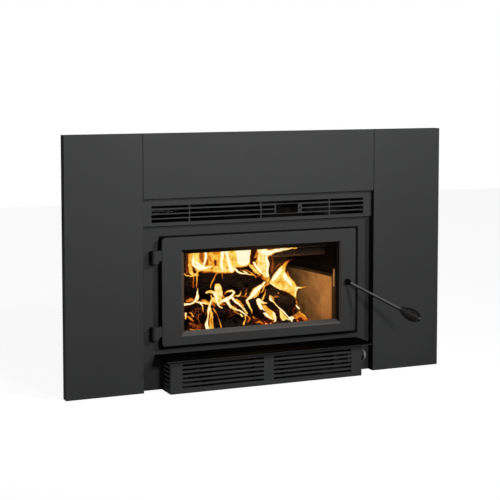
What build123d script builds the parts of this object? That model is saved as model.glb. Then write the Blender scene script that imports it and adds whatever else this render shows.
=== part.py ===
from build123d import *
import math
import os

# A wood-burning fireplace insert. Millimetres. X runs across the front to the
# right, Y runs into the fireplace, Z is up. The origin is on the hearth, under
# the middle of the surround's front face.

# How far a cutting tool runs past the face that it cuts.
past = 1.0

# ---------------------------------------------------------------- surround
surround_width = 1118.0
surround_height = 691.0
surround_sheet = 1.6
surround_return_depth = 26.5
surround_fixing_depth = 80.0
surround_seam = 1.2
panel_fit_gap = 0.3

# ---------------------------------------------------------------- convection casing
casing_width = 690.0
casing_height = 517.2
casing_sheet = 1.2
casing_straight_depth = 150.0
casing_back_y = 437.0
casing_back_narrowing = 154.0

# ---------------------------------------------------------------- front plate
plate_front_y = 26.5
plate_thickness = 4.8
plate_height = 441.7
door_side_margin = 52.0
door_hole_overlap = 18.0
door_hole_bottom = 138.0
door_hole_top = 394.0
door_hole_corner = 6.0
duct_hole_margin = 51.0
duct_hole_bottom = 12.0
duct_hole_top = 80.0
duct_hole_corner = 4.0

# ---------------------------------------------------------------- firebox
firebox_bottom = 98.0
firebox_top = 440.0
firebox_plate = 4.8
firebox_hole_clearance = 4.5
firebox_taper = 0.137
firebox_depth = 340.0
brick_thickness = 38.0
floor_brick_thickness = 31.8
brick_joint = 0.6
side_brick_top = 270.0
side_brick_front_y = 52.0
side_brick_first_length = 68.4
side_brick_length = 114.0
back_brick_top = 298.0
back_brick_count = 4
floor_brick_columns = 5
floor_brick_rows = 3
fit_gap = 0.3

# ---------------------------------------------------------------- air and flue
flue_inner_radius = 76.2
flue_wall = 3.0
flue_y = 215.0
flue_top = 560.0
flue_flange_width = 16.0
flue_flange_thickness = 3.0
casing_flue_clearance = 3.0
tube_radius = 12.7
tube_wall = 1.6
tube_centre_z = 340.0
tube_front_y = 112.0
tube_pitch_y = 84.0
tube_count = 3
tube_hole_radius = 2.2
tube_hole_pitch = 13.0
tube_hole_tilt = 10.0
manifold_width = 26.0
manifold_bottom = 299.0
manifold_height = 73.0
manifold_wall = 2.5
manifold_front_y = 60.0
tube_insertion = 6.0
baffle_thickness = 19.0
baffle_front_y = 99.0
blanket_thickness = 12.7
blanket_margin = 14.0
skid_offset_x = 150.0
skid_width = 40.0
skid_wall = 4.0
skid_front_y = 60.0

# ---------------------------------------------------------------- upper grille
grille_front_y = 12.0
grille_sheet = 1.5
grille_bottom = 444.0
grille_return_y = 50.0
slot_side_margin = 27.2
slot_height = 9.0
top_slot_height = 7.0
slot_pitch = 12.3
slot_lowest_z = 457.7
slot_rows = 4
grille_rib_width = 3.4
grille_rib_x = 210.0
window_frame_left = 41.6
window_frame_right = 123.6
window_left = 45.5
window_right = 112.4
window_bottom = 464.0
window_top = 489.0
window_post_hole_radius = 2.4
grille_screw_inset = 29.5
grille_screw_y = 42.0

# ---------------------------------------------------------------- air control
air_box_left = 20.0
air_box_right = 150.0
air_box_front_y = 60.0
air_box_depth = 60.0
air_box_height = 34.0
air_box_wall = 2.5
air_port_width = 52.0
air_port_height = 14.0
slide_plate_width = 60.0
slide_plate_height = 26.0
slide_plate_thickness = 2.0
slide_clearance = 0.3
slide_travel = 50.0
air_rod_radius = 2.6
air_rod_x = 53.0
air_rod_z = 478.5
air_knob_radius = 4.4
air_knob_front_y = 8.0
air_knob_length = 14.0
air_knob_edge = 1.5

# ---------------------------------------------------------------- door
door_bottom = 118.4
door_top = 413.6
door_front_y = 2.0
door_thickness = 18.0
door_corner_radius = 11.0
door_edge_radius = 3.5
bevel_depth = 12.0
bevel_width = 12.0
window_offset = 3.0
glass_side_rail = 52.0
glass_opening_bottom = 144.4
glass_opening_top = 378.2
glass_thickness = 4.8
glass_overlap = 12.0
glass_fit = 1.5
glass_tape = 0.8
glass_tape_width = 9.0
clip_width = 14.0
clip_thickness = 1.6
clip_length = 60.0
clip_screw_radius = 2.0
clip_screw_head = 1.8
door_rope_radius = 4.75
door_rope_inset = 9.0
door_rope_corner = 12.0
door_rope_groove = 3.6

# ---------------------------------------------------------------- hinges
hinge_offset = 16.0
hinge_y = 10.0
hinge_radius = 10.4
hinge_pin_radius = 4.0
hinge_running_clearance = 0.06
hinge_lift = 0.3
hinge_knuckle_height = 27.6
hinge_lug_height = 9.4
lower_lug_bottom = 136.8
upper_lug_bottom = 341.9
hinge_arm_thickness = 14.0
hinge_lug_dome = 3.0
hinge_knuckle_chamfer = 1.0
hinge_pin_recess = 1.0

# ---------------------------------------------------------------- latch and handle
latch_inset = 31.0
latch_z = 262.0
shaft_radius = 5.0
shaft_front_y = -8.0
shaft_clearance = 0.06
boss_radius = 8.5
boss_edge = 2.0
bush_radius = 8.0
cam_y = 43.0
cam_thickness = 5.0
cam_catch_gap = 1.0
cam_reach = 27.0
cam_hub_radius = 8.5
cam_arm_width = 12.0
retaining_ring_thickness = 1.2
retaining_ring_radius = 7.2
shaft_tail = 1.0
catch_offset = 24.0
catch_leg_width = 8.0
catch_bottom = 245.0
catch_top = 294.0
catch_bar_height = 12.0
catch_thickness = 9.5
rod_radius = 4.0
rod_run_x = 101.7
rod_run_y = -122.0
rod_run_z = -66.1
grip_length = 62.0
grip_wire_radius = 1.5
grip_pitch = 4.3
grip_end_radius = 5.8
grip_max_radius = 16.2
grip_fullness = 0.75
grip_peak_power = 1.3

# ---------------------------------------------------------------- ash shelf, blower housing
shelf_overhang = 19.0
shelf_front_y = -67.0
shelf_thickness = 6.0
shelf_underside = 90.0
shelf_edge = 0.8
housing_side_margin = 59.0
housing_front_y = -43.0
housing_sheet = 1.5
housing_flange = 12.0
louvre_left_margin = 33.1
louvre_left_end = 15.0
louvre_right_start = 14.0
louvre_right_margin = 32.0
louvre_lowest_z = 17.0
louvre_pitch = 11.72
louvre_height = 5.8
louvre_rows = 6
side_louvre_front_y = -34.0
side_louvre_back_y = 16.0
lower_housing_screw_z = 20.0
upper_housing_screw_z = 70.0

# ---------------------------------------------------------------- blower
blower_y = -6.0
blower_z = 46.0
motor_radius = 27.0
motor_length = 76.0
motor_shaft_radius = 4.0
motor_clearance = 0.06
motor_edge = 3.0
motor_nose_length = 5.0
motor_nose_radius = 9.0
bracket_inset = 8.0
bracket_wall = 3.0
bracket_rim_drop = 8.0
bracket_web = 4.0
wheel_radius = 26.0
blade_width = 5.0
blade_thickness = 1.0
blade_count = 24
wheel_length = 106.0
wheel_disc = 2.0
wheel_hub_radius = 8.0
wheel_hub_length = 14.0
wheel_motor_gap = 16.0
rotor_shaft_reach = 20.0
scroll_clearance = 3.5
scroll_wall = 1.5
scroll_end_gap = 4.0
scroll_inlet_radius = 19.0
scroll_outlet_height = 29.0
scroll_back_gap = 1.0

# ---------------------------------------------------------------- fan speed control
speed_y = -17.0
speed_z = 53.0
speed_knob_radius = 14.75
speed_knob_length = 21.0
speed_knob_gap = 1.5
speed_shaft_radius = 3.0
speed_box_size = 30.0
speed_box_length = 34.0
speed_bore_depth = 14.0
speed_hole_radius = 5.0
speed_knob_edge = 1.5
pointer_width = 1.8
pointer_depth = 1.2
pointer_start = 3.0

# ---------------------------------------------------------------- fixings
screw_radius = 2.4
screw_hole_clearance = 0.2
screw_head_radius = 4.6
screw_head_height = 3.6
surround_screw_y = 58.0
surround_screw_length = 8.0
grille_screw_length = 12.0
housing_screw_length = 9.0
side_screw_lowest = 70.0
side_screw_pitch = 190.0
side_screw_count = 3
top_screw_x = 230.0
screw_hole_length = 8.0
anchor_hole_radius = 5.0
anchor_spacing = 360.0
anchor_y = 395.0
gland_y = 110.0
gland_z = 45.0
gland_radius = 9.0
gland_bore_radius = 3.6
gland_length = 14.0
gland_neck_radius = 6.0
snap_disc_radius = 9.0
snap_disc_height = 7.0
snap_disc_x = 80.0
snap_disc_y = 60.0
snap_pin_spacing = 8.0
snap_pin_width = 6.0
snap_pin_thickness = 2.0
snap_pin_length = 7.0

# ---------------------------------------------------------------- fuel
ember_side_margin = 83.5
ember_front_y = 58.0
ember_back_y = 306.0
ember_height = 24.0
ember_back_narrowing = 0.92
ember_crown_width = 0.74
ember_crown_depth = 0.71
log_bed_depth = 16.0
log_facets = 11
log_taper = 0.93
log_bark_depth = 0.05
log_settle = 6.2
base_log_radius = 30.0
base_log_left = -175.0
base_log_right = 150.0
base_log_y = 262.0
back_log_radius = 41.0
back_log_left = -165.0
back_log_right = 120.0
back_log_y = 240.0
rear_logs_skew = 6.0
front_log_radius = 35.0
front_log_left = -178.0
front_log_right = 0.0
front_log_y = 128.0
front_log_skew = 21.0
front_log_lift = 33.0
cross_log_radius = 33.0
cross_log_back_x = 44.0
cross_log_back_y = 196.0
cross_log_rise = 63.0
cross_log_front_x = 138.0
cross_log_front_y = 92.0
cross_log_lift = 26.0
kindling_radius = 15.0
kindling_back_x = 2.0
kindling_back_y = 184.0
kindling_rise = 92.0
kindling_front_x = 38.0
kindling_front_y = 86.0
kindling_lift = 18.0

# ---------------------------------------------------------------- derived places
panel_inner_x = casing_width / 2 + panel_fit_gap
casing_back_width = casing_width - casing_back_narrowing
side_screw_heights = [side_screw_lowest + index * side_screw_pitch for index in range(side_screw_count)]
door_width = casing_width - 2 * door_side_margin
door_hole_width = door_width - 2 * door_hole_overlap
glass_opening_width = door_width - 2 * glass_side_rail
hinge_x = -door_width / 2 - hinge_offset
hinge_lug_bottoms = (lower_lug_bottom, upper_lug_bottom)
latch_x = door_width / 2 - latch_inset
catch_leg_x = latch_x - catch_offset
firebox_front_half = door_hole_width / 2 + firebox_hole_clearance
grille_screw_x = firebox_front_half - grille_screw_inset
slot_half_span = casing_width / 2 - slot_side_margin
housing_width = casing_width - 2 * housing_side_margin
shelf_width = housing_width + 2 * shelf_overhang
duct_hole_width = housing_width - 2 * duct_hole_margin
louvre_fields = (
    (louvre_left_margin - housing_width / 2, -louvre_left_end),
    (louvre_right_start, housing_width / 2 - louvre_right_margin),
)
housing_screw_heights = (lower_housing_screw_z, upper_housing_screw_z)
ember_half_width = firebox_front_half - ember_side_margin
plate_back_y = plate_front_y + plate_thickness
door_back_y = door_front_y + door_thickness
firebox_back_y = plate_back_y + firebox_depth
floor_top = firebox_bottom + firebox_plate
hearth_top = floor_top + floor_brick_thickness
roof_bottom = firebox_top - firebox_plate
casing_top_inside = casing_height - casing_sheet
surround_top_bottom = casing_height + panel_fit_gap
grille_top = casing_top_inside - fit_gap
door_middle_z = (door_bottom + door_top) / 2
glass_front_y = door_front_y + bevel_depth
cam_back_y = cam_y + cam_thickness
housing_top = shelf_underside - fit_gap
housing_back_y = plate_front_y - fit_gap


def box(x0, x1, y0, y1, z0, z1):
    """A block between two corners."""
    middle = ((x0 + x1) / 2, (y0 + y1) / 2, (z0 + z1) / 2)
    return Pos(*middle) * Box(x1 - x0, y1 - y0, z1 - z0)


def rod(start, end, radius):
    """A round bar from one point to another."""
    run = Vector(*end) - Vector(*start)
    return Solid.make_cylinder(radius, run.length, Plane(origin=start, z_dir=run))


def pipe(start, end, outer, inner):
    """A round bar with a bore through it."""
    run = (Vector(*end) - Vector(*start)).normalized()
    bore = rod(Vector(*start) - run, Vector(*end) + run, inner)
    return rod(start, end, outer) - bore


def prism(points, z0, z1):
    """A plan outline raised from one height to another."""
    outline = make_face(Polyline(*points, close=True))
    return extrude(Pos(0, 0, z0) * outline, amount=z1 - z0)


def slab(profile, y_front, y_back):
    """A profile drawn in X and Z, as thick as the step from front to back."""
    return extrude(Plane.XZ.offset(-y_back) * profile, amount=y_back - y_front)


def rectangle(x0, x1, z0, z1, radius=0.0):
    """A rectangle in the plane of the front, with rounded corners if asked."""
    middle = Pos((x0 + x1) / 2, (z0 + z1) / 2)
    if radius > 0:
        return middle * RectangleRounded(x1 - x0, z1 - z0, radius)
    return middle * Rectangle(x1 - x0, z1 - z0)


def group(solids):
    """Several separate solids that share one node."""
    return Compound([solid for item in solids for solid in item.solids()])


def firebox_half(y, inset=0.0):
    """Half the firebox's clear width at a depth, less an inset from the wall."""
    return firebox_front_half - firebox_taper * (y - plate_back_y) - inset


def firebox_outer_half(y):
    """Half the firebox's outer width at a depth."""
    return firebox_half(y, -firebox_plate)


def casing_half(y):
    """Half the casing's outer width at a depth."""
    run = max(0.0, y - casing_straight_depth) / (casing_back_y - casing_straight_depth)
    return casing_width / 2 - run * (casing_width - casing_back_width) / 2


def side_strip(side, y0, y1, inset0, inset1, z0, z1):
    """A tapered slab along one firebox wall, between two insets from it."""
    points = [
        (side * firebox_half(y0, inset0), y0),
        (side * firebox_half(y1, inset0), y1),
        (side * firebox_half(y1, inset1), y1),
        (side * firebox_half(y0, inset1), y0),
    ]
    return prism(points, z0, z1)


def screw(head_point, direction, length):
    """A screw with a hexagon head, seated with the head's underside at a point."""
    plane = Plane(origin=head_point, z_dir=direction)
    head = extrude(plane * RegularPolygon(screw_head_radius, 6), amount=-screw_head_height)
    shank = Solid.make_cylinder(screw_radius, length, plane)
    return head + shank


def screw_hole(point, direction, length):
    """The clearance hole for a screw's shank."""
    radius = screw_radius + screw_hole_clearance
    start = Vector(*point) - Vector(*direction) * length / 2
    end = Vector(*point) + Vector(*direction) * length / 2
    return rod(start, end, radius)


# ---------------------------------------------------------------- surround
def side_panel(side):
    """One side panel: a folded pan whose inner return runs back along the casing."""
    outer = surround_width / 2
    x0, x1 = sorted((side * panel_inner_x, side * outer))
    sheet = surround_sheet
    pan = box(x0, x1, 0, surround_return_depth, 0, surround_height)
    hollow = box(x0 + sheet, x1 - sheet, sheet, surround_return_depth, sheet, surround_height - sheet)
    inner0, inner1 = sorted((side * panel_inner_x, side * (panel_inner_x + sheet)))
    strip = box(inner0, inner1, sheet, surround_fixing_depth, sheet, casing_top_inside)
    panel = pan - hollow + strip
    for height in side_screw_heights:
        panel -= screw_hole((inner0, surround_screw_y, height), (1, 0, 0), 4 * surround_sheet)
    return panel


def top_panel():
    """The panel over the grille, with a lower return that lies on the casing."""
    half = panel_inner_x - surround_seam
    sheet = surround_sheet
    z0 = surround_top_bottom
    pan = box(-half, half, 0, surround_return_depth, z0, surround_height)
    hollow = box(-half + sheet, half - sheet, sheet, surround_return_depth,
                 z0 + sheet, surround_height - sheet)
    shelf = box(-half + sheet, half - sheet, sheet, surround_fixing_depth, z0, z0 + sheet)
    panel = pan - hollow + shelf
    for x in (-top_screw_x, top_screw_x):
        panel -= screw_hole((x, surround_screw_y, z0), (0, 0, 1), 4 * surround_sheet)
    return panel


def surround_screws():
    """Screws that hold the three panels to the casing."""
    screws = []
    seat = panel_inner_x + surround_sheet
    for side in (-1, 1):
        for height in side_screw_heights:
            place = (side * seat, surround_screw_y, height)
            screws.append(screw(place, (-side, 0, 0), surround_screw_length))
    for x in (-top_screw_x, top_screw_x):
        seat_point = (x, surround_screw_y, surround_top_bottom + surround_sheet)
        screws.append(screw(seat_point, (0, 0, -1), surround_screw_length))
    return group(screws)


# ---------------------------------------------------------------- casing
def casing_plan(inset=0.0):
    """The casing's outline in plan."""
    points = [(casing_half(y) - inset, y) for y in (plate_back_y, casing_straight_depth, casing_back_y)]
    return points + [(-x, y) for x, y in reversed(points)]


def casing_base():
    """The casing's floor pan, with its two anchor holes."""
    base = prism(casing_plan(), 0, casing_sheet)
    for side in (-1, 1):
        centre = (side * anchor_spacing / 2, anchor_y)
        base -= rod((*centre, -past), (*centre, casing_sheet + past), anchor_hole_radius)
    return base


def casing_side(side):
    """One bent side sheet of the casing."""
    depths = (plate_back_y, casing_straight_depth, casing_back_y - casing_sheet)
    outer = [(side * casing_half(y), y) for y in depths]
    inner = [(side * (casing_half(y) - casing_sheet), y) for y in reversed(depths)]
    sheet = prism(outer + inner, casing_sheet, casing_top_inside)
    for height in side_screw_heights:
        place = (side * casing_width / 2, surround_screw_y, height)
        sheet -= screw_hole(place, (1, 0, 0), screw_hole_length)
    if side > 0:
        wall = casing_width / 2
        sheet -= rod((wall - casing_sheet - past, gland_y, gland_z), (wall + past, gland_y, gland_z),
                     gland_neck_radius)
    return sheet


def casing_back():
    """The casing's flat back sheet."""
    half = casing_back_width / 2
    return box(-half, half, casing_back_y - casing_sheet, casing_back_y, casing_sheet, casing_top_inside)


def casing_top():
    """The casing's top sheet, with the flue collar's hole."""
    sheet = prism(casing_plan(), casing_top_inside, casing_height)
    hole = flue_inner_radius + flue_wall + casing_flue_clearance
    sheet -= rod((0, flue_y, casing_top_inside - past), (0, flue_y, casing_height + past), hole)
    for x in (-top_screw_x, top_screw_x):
        sheet -= screw_hole((x, surround_screw_y, casing_height), (0, 0, 1), screw_hole_length)
    return sheet


def cord_gland():
    """The bush in the casing's side that the mains lead would pass through."""
    wall = casing_width / 2
    outside = pipe((wall, gland_y, gland_z), (wall + gland_length, gland_y, gland_z),
                   gland_radius, gland_bore_radius)
    neck = pipe((wall - casing_sheet, gland_y, gland_z), (wall, gland_y, gland_z),
                gland_neck_radius - screw_hole_clearance, gland_bore_radius)
    return outside + neck


# ---------------------------------------------------------------- front plate and firebox
def front_plate():
    """The thick plate behind the door, with the door hole and the air duct hole."""
    half = casing_width / 2
    profile = rectangle(-half, half, 0, plate_height)
    profile -= rectangle(-door_hole_width / 2, door_hole_width / 2, door_hole_bottom, door_hole_top,
                         door_hole_corner)
    profile -= rectangle(-duct_hole_width / 2, duct_hole_width / 2, duct_hole_bottom, duct_hole_top,
                         duct_hole_corner)
    plate = slab(profile, plate_front_y, plate_back_y)
    for x, z in housing_screw_places():
        plate -= screw_hole((x, plate_front_y, z), (0, 1, 0), 4 * plate_thickness)
    return plate


def firebox_plan():
    """The firebox's outer outline in plan."""
    back = firebox_back_y
    points = [
        (firebox_outer_half(plate_back_y), plate_back_y),
        (firebox_outer_half(back), back),
        (firebox_outer_half(back), back + firebox_plate),
    ]
    return points + [(-x, y) for x, y in reversed(points)]


def firebox_floor():
    """The welded floor plate."""
    return prism(firebox_plan(), firebox_bottom, floor_top)


def firebox_roof():
    """The welded top plate, with the flue hole and the grille's screw holes."""
    roof = prism(firebox_plan(), roof_bottom, firebox_top)
    roof -= rod((0, flue_y, roof_bottom - past), (0, flue_y, firebox_top + past), flue_inner_radius)
    for side in (-1, 1):
        place = (side * grille_screw_x, grille_screw_y, firebox_top)
        roof -= screw_hole(place, (0, 0, 1), 2 * screw_hole_length)
    return roof


def firebox_sides():
    """The two tapering side plates."""
    return group([
        side_strip(side, plate_back_y, firebox_back_y, 0, -firebox_plate, floor_top, roof_bottom)
        for side in (-1, 1)
    ])


def firebox_back():
    """The back plate."""
    half = firebox_outer_half(firebox_back_y)
    return box(-half, half, firebox_back_y, firebox_back_y + firebox_plate, floor_top, roof_bottom)


def side_bricks(side):
    """The firebricks along one wall, cut at upright joints."""
    bricks = []
    start = side_brick_front_y
    last = firebox_back_y - brick_thickness - 2 * fit_gap
    ends = [start + side_brick_first_length]
    while ends[-1] + side_brick_length < last:
        ends.append(ends[-1] + side_brick_length)
    for end in ends + [last]:
        bricks.append(side_strip(side, start, end - brick_joint, fit_gap, brick_thickness,
                                 hearth_top + fit_gap, side_brick_top))
        start = end
    return group(bricks)


def back_bricks():
    """The firebricks that stand along the back wall."""
    y1 = firebox_back_y - fit_gap
    y0 = y1 - brick_thickness
    half = firebox_half(y1, fit_gap)
    width = 2 * half / back_brick_count
    bricks = []
    for index in range(back_brick_count):
        x0 = -half + index * width
        bricks.append(box(x0, x0 + width - brick_joint, y0, y1, hearth_top + fit_gap, back_brick_top))
    return group(bricks)


def floor_bricks():
    """The firebricks that line the floor, trimmed to the taper."""
    front = plate_back_y + fit_gap
    back = firebox_back_y - fit_gap
    half = firebox_half(plate_back_y)
    outline = [
        (firebox_half(front, fit_gap), front),
        (firebox_half(back, fit_gap), back),
        (-firebox_half(back, fit_gap), back),
        (-firebox_half(front, fit_gap), front),
    ]
    lining = prism(outline, floor_top, hearth_top)
    column = 2 * half / floor_brick_columns
    row = (back - front) / floor_brick_rows
    bricks = []
    for i in range(floor_brick_columns):
        for j in range(floor_brick_rows):
            x0 = -half + i * column
            y0 = front + j * row
            cell = box(x0, x0 + column - brick_joint, y0, y0 + row - brick_joint, floor_top, hearth_top)
            bricks.append(lining & cell)
    return group(bricks)


def flue_collar():
    """The flue outlet: a tube with a flange on the firebox."""
    outer = flue_inner_radius + flue_wall
    collar = pipe((0, flue_y, firebox_top), (0, flue_y, flue_top), outer, flue_inner_radius)
    flange = pipe((0, flue_y, firebox_top), (0, flue_y, firebox_top + flue_flange_thickness),
                  outer + flue_flange_width, flue_inner_radius)
    return collar + flange


def tube_depths():
    """The secondary air tubes' depths."""
    return [tube_front_y + index * tube_pitch_y for index in range(tube_count)]


def air_manifold(side):
    """A channel on one firebox wall that feeds the secondary air tubes."""
    back = firebox_back_y - fit_gap
    top = manifold_bottom + manifold_height
    wall = manifold_wall
    channel = side_strip(side, manifold_front_y, back, fit_gap, manifold_width, manifold_bottom, top)
    channel -= side_strip(side, manifold_front_y + wall, back - wall, 0, manifold_width - wall,
                          manifold_bottom + wall, top - wall)
    for y in tube_depths():
        inner = firebox_half(y, manifold_width + tube_insertion)
        outer = firebox_half(y, manifold_width - tube_insertion)
        channel -= rod((side * inner, y, tube_centre_z), (side * outer, y, tube_centre_z),
                       tube_radius + fit_gap)
    return channel


def secondary_tube(y):
    """One perforated air tube between the two manifolds."""
    half = firebox_half(y, manifold_width - manifold_wall - tube_insertion)
    tube = pipe((-half, y, tube_centre_z), (half, y, tube_centre_z), tube_radius, tube_radius - tube_wall)
    reach = firebox_half(y, manifold_width + 2 * tube_hole_pitch)
    holes = int(2 * reach / tube_hole_pitch)
    tilt = math.radians(tube_hole_tilt)
    out = Vector(0, -math.cos(tilt), -math.sin(tilt)) * (tube_radius + past)
    drills = []
    for index in range(holes + 1):
        centre = Vector(-holes * tube_hole_pitch / 2 + index * tube_hole_pitch, y, tube_centre_z)
        drills.append(rod(centre, centre + out, tube_hole_radius))
    return tube - drills


def baffle_boards():
    """Two boards that lie on the air tubes and turn the smoke forward."""
    bottom = tube_centre_z + tube_radius + fit_gap
    back = firebox_back_y - 2 * fit_gap
    boards = []
    for side in (-1, 1):
        points = [
            (side * brick_joint, baffle_front_y),
            (side * firebox_half(baffle_front_y, manifold_width + fit_gap), baffle_front_y),
            (side * firebox_half(back, manifold_width + fit_gap), back),
            (side * brick_joint, back),
        ]
        boards.append(prism(points, bottom, bottom + baffle_thickness))
    return group(boards)


def insulation_blanket():
    """The ceramic blanket that lies on the baffle."""
    bottom = tube_centre_z + tube_radius + 2 * fit_gap + baffle_thickness
    front = baffle_front_y + blanket_margin
    back = firebox_back_y - blanket_margin
    half = firebox_half(back, manifold_width + blanket_margin)
    return box(-half, half, front, back, bottom, bottom + blanket_thickness)


def support_skids():
    """Two channels between the casing's floor and the firebox."""
    skids = []
    back = firebox_back_y
    for side in (-1, 1):
        left = side * skid_offset_x - skid_width / 2
        right = left + skid_width
        outer = box(left, right, skid_front_y, back, casing_sheet, firebox_bottom)
        inner = box(left + skid_wall, right, skid_front_y - past, back + past,
                    casing_sheet + skid_wall, firebox_bottom - skid_wall)
        skids.append(outer - inner)
    return group(skids)


# ---------------------------------------------------------------- upper grille
def grille_slots():
    """The grille's slot rows, the top one shallower, broken by ribs and the control window."""
    ribs = [-grille_rib_x, 0.0, grille_rib_x]
    stops = [-slot_half_span]
    for rib in ribs:
        stops += [rib - grille_rib_width / 2, rib + grille_rib_width / 2]
    stops.append(slot_half_span)
    slots = []
    for row in range(slot_rows):
        z = slot_lowest_z + row * slot_pitch
        height = top_slot_height if row == slot_rows - 1 else slot_height
        beside_window = window_bottom < z < window_top
        for x0, x1 in zip(stops[0::2], stops[1::2]):
            spans = [(x0, x1)]
            if beside_window and x0 < window_frame_left < x1:
                spans = [(x0, window_frame_left), (window_frame_right, x1)]
            for a, b in spans:
                slots.append(rectangle(a, b, z - height / 2, z + height / 2))
    return slots


def upper_grille():
    """The hot-air grille: a slotted pan with the air control's window."""
    half = casing_width / 2 - casing_sheet - fit_gap
    sheet = grille_sheet
    profile = rectangle(-half, half, grille_bottom, grille_top)
    for slot in grille_slots():
        profile -= slot
    profile -= rectangle(window_left, window_right, window_bottom, window_top)
    post_x = (window_right + window_frame_right) / 2
    profile -= Pos(post_x, (window_bottom + window_top) / 2) * Circle(window_post_hole_radius)
    front = grille_front_y
    grille = slab(profile, front, front + sheet)
    for side in (-1, 1):
        x0, x1 = sorted((side * half, side * (half - sheet)))
        grille += box(x0, x1, front, grille_return_y, grille_bottom, grille_top)
    lower = box(-half, half, front, grille_return_y, grille_bottom, grille_bottom + sheet)
    grille += lower
    for side in (-1, 1):
        place = (side * grille_screw_x, grille_screw_y, grille_bottom)
        grille -= screw_hole(place, (0, 0, 1), screw_hole_length)
    return grille


# ---------------------------------------------------------------- air control
def air_box():
    """The combustion air box on the firebox, with runners for its slide."""
    front = air_box_front_y
    top = firebox_top + air_box_height
    wall = air_box_wall
    shell = box(air_box_left, air_box_right, front, front + air_box_depth, firebox_top, top)
    shell -= box(air_box_left + wall, air_box_right - wall, front + wall, front + air_box_depth - wall,
                 firebox_top, top - wall)
    port_z = firebox_top + air_box_height / 2
    port_left = air_rod_x - air_port_width / 2
    shell -= box(port_left, port_left + air_port_width, front - past, front + wall + past,
                 port_z - air_port_height / 2, port_z + air_port_height / 2)
    lip = slide_plate_thickness + 2 * slide_clearance
    low = port_z - slide_plate_height / 2 - slide_clearance
    runner = box(air_box_left, air_box_right, front - lip - wall, front, firebox_top, low)
    keeper = box(air_box_left, air_box_right, front - lip - wall, front - lip, low, low + wall)
    return shell + runner + keeper


def air_slide_plate():
    """The sliding damper plate, with the arm that carries its knob."""
    y1 = air_box_front_y - slide_clearance
    y0 = y1 - slide_plate_thickness
    middle = firebox_top + air_box_height / 2
    low = middle - slide_plate_height / 2
    x0 = air_rod_x - slide_plate_width / 2
    plate = box(x0, x0 + slide_plate_width, y0, y1, low, low + slide_plate_height)
    arm_top = air_rod_z + 2 * air_rod_radius
    arm = box(air_rod_x - 2 * air_rod_radius, air_rod_x + 2 * air_rod_radius, y0, y1, middle, arm_top)
    return plate + arm


def air_control_rod():
    """The rod and knob that stick out through the grille's window."""
    back = air_box_front_y - slide_clearance - slide_plate_thickness
    knob_back = air_knob_front_y + air_knob_length
    stem = rod((air_rod_x, knob_back, air_rod_z), (air_rod_x, back, air_rod_z), air_rod_radius)
    knob = rod((air_rod_x, air_knob_front_y, air_rod_z), (air_rod_x, knob_back, air_rod_z), air_knob_radius)
    knob = fillet(knob.edges().group_by(Axis.Y)[0], air_knob_edge)
    return knob + stem


# ---------------------------------------------------------------- door
def door_rope_profile(offset):
    """The rope seal's rounded path, moved in or out by an offset."""
    inset = door_rope_inset - offset
    half = door_width / 2 - inset
    return rectangle(-half, half, door_bottom + inset, door_top - inset, door_rope_corner + offset)


def door_frame():
    """The cast frame, with a bevelled window, a glass rebate and a seal groove."""
    half = door_width / 2
    outline = rectangle(-half, half, door_bottom, door_top, door_corner_radius)
    frame = slab(outline, door_front_y, door_back_y)
    frame = fillet(frame.faces().sort_by(Axis.Y)[0].outer_wire().edges(), door_edge_radius)
    frame -= bevel_cut()
    rebate = glass_rebate()
    frame -= slab(rectangle(*rebate), glass_front_y, door_back_y + past)
    groove = door_rope_profile(door_rope_radius + fit_gap) - door_rope_profile(-door_rope_radius - fit_gap)
    frame -= slab(groove, door_back_y - door_rope_groove, door_back_y + past)
    front, back = door_front_y - past, door_back_y + past
    frame -= rod((latch_x, front, latch_z), (latch_x, back, latch_z), bush_radius)
    return frame


def bevel_cut():
    """The window opening, which narrows towards the glass."""
    wires = []
    steps = ((door_front_y, 0), (glass_front_y, bevel_width), (door_back_y + past, bevel_width))
    for y, inset in steps:
        half = glass_opening_width / 2 - inset
        bottom = glass_opening_bottom + inset
        opening = rectangle(window_offset - half, window_offset + half, bottom, glass_opening_top - inset)
        wires.append((Plane.XZ.offset(-y) * opening).wires()[0])
    return Solid.make_loft(wires[:2], ruled=True) + Solid.make_loft(wires[1:], ruled=True)


def glass_size(margin):
    """The glass pane's outline, grown by a margin."""
    reach = glass_overlap - bevel_width + margin
    half = glass_opening_width / 2 + reach
    low, high = glass_opening_bottom - reach, glass_opening_top + reach
    return (window_offset - half, window_offset + half, low, high)


def glass_rebate():
    """The recess in the frame's back that takes the pane."""
    return glass_size(glass_fit)


def door_glass():
    """The ceramic glass pane."""
    front = glass_front_y + glass_tape
    return slab(rectangle(*glass_size(0)), front, front + glass_thickness)


def glass_gasket():
    """The flat tape between the pane and the frame."""
    x0, x1, z0, z1 = glass_size(0)
    width = glass_tape_width
    ring = rectangle(x0, x1, z0, z1) - rectangle(x0 + width, x1 - width, z0 + width, z1 - width)
    return slab(ring, glass_front_y, glass_front_y + glass_tape)


def clip_places():
    """Where the glass clips sit: the middle of each clip on the pane's edge."""
    x0, x1, z0, z1 = glass_size(glass_fit)
    middle_z = (z0 + z1) / 2
    return [
        (x0, middle_z, False), (x1, middle_z, False),
        (x0 / 2, z0, True), (x1 / 2, z0, True), (x0 / 2, z1, True), (x1 / 2, z1, True),
    ]


def clip_screw_place(x, z, level):
    """The screw in a clip, outside the pane's edge."""
    out = clip_width / 4
    middle_z = (glass_opening_bottom + glass_opening_top) / 2
    if level:
        return x, z + math.copysign(out, z - middle_z)
    return x + math.copysign(out, x), z


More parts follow.
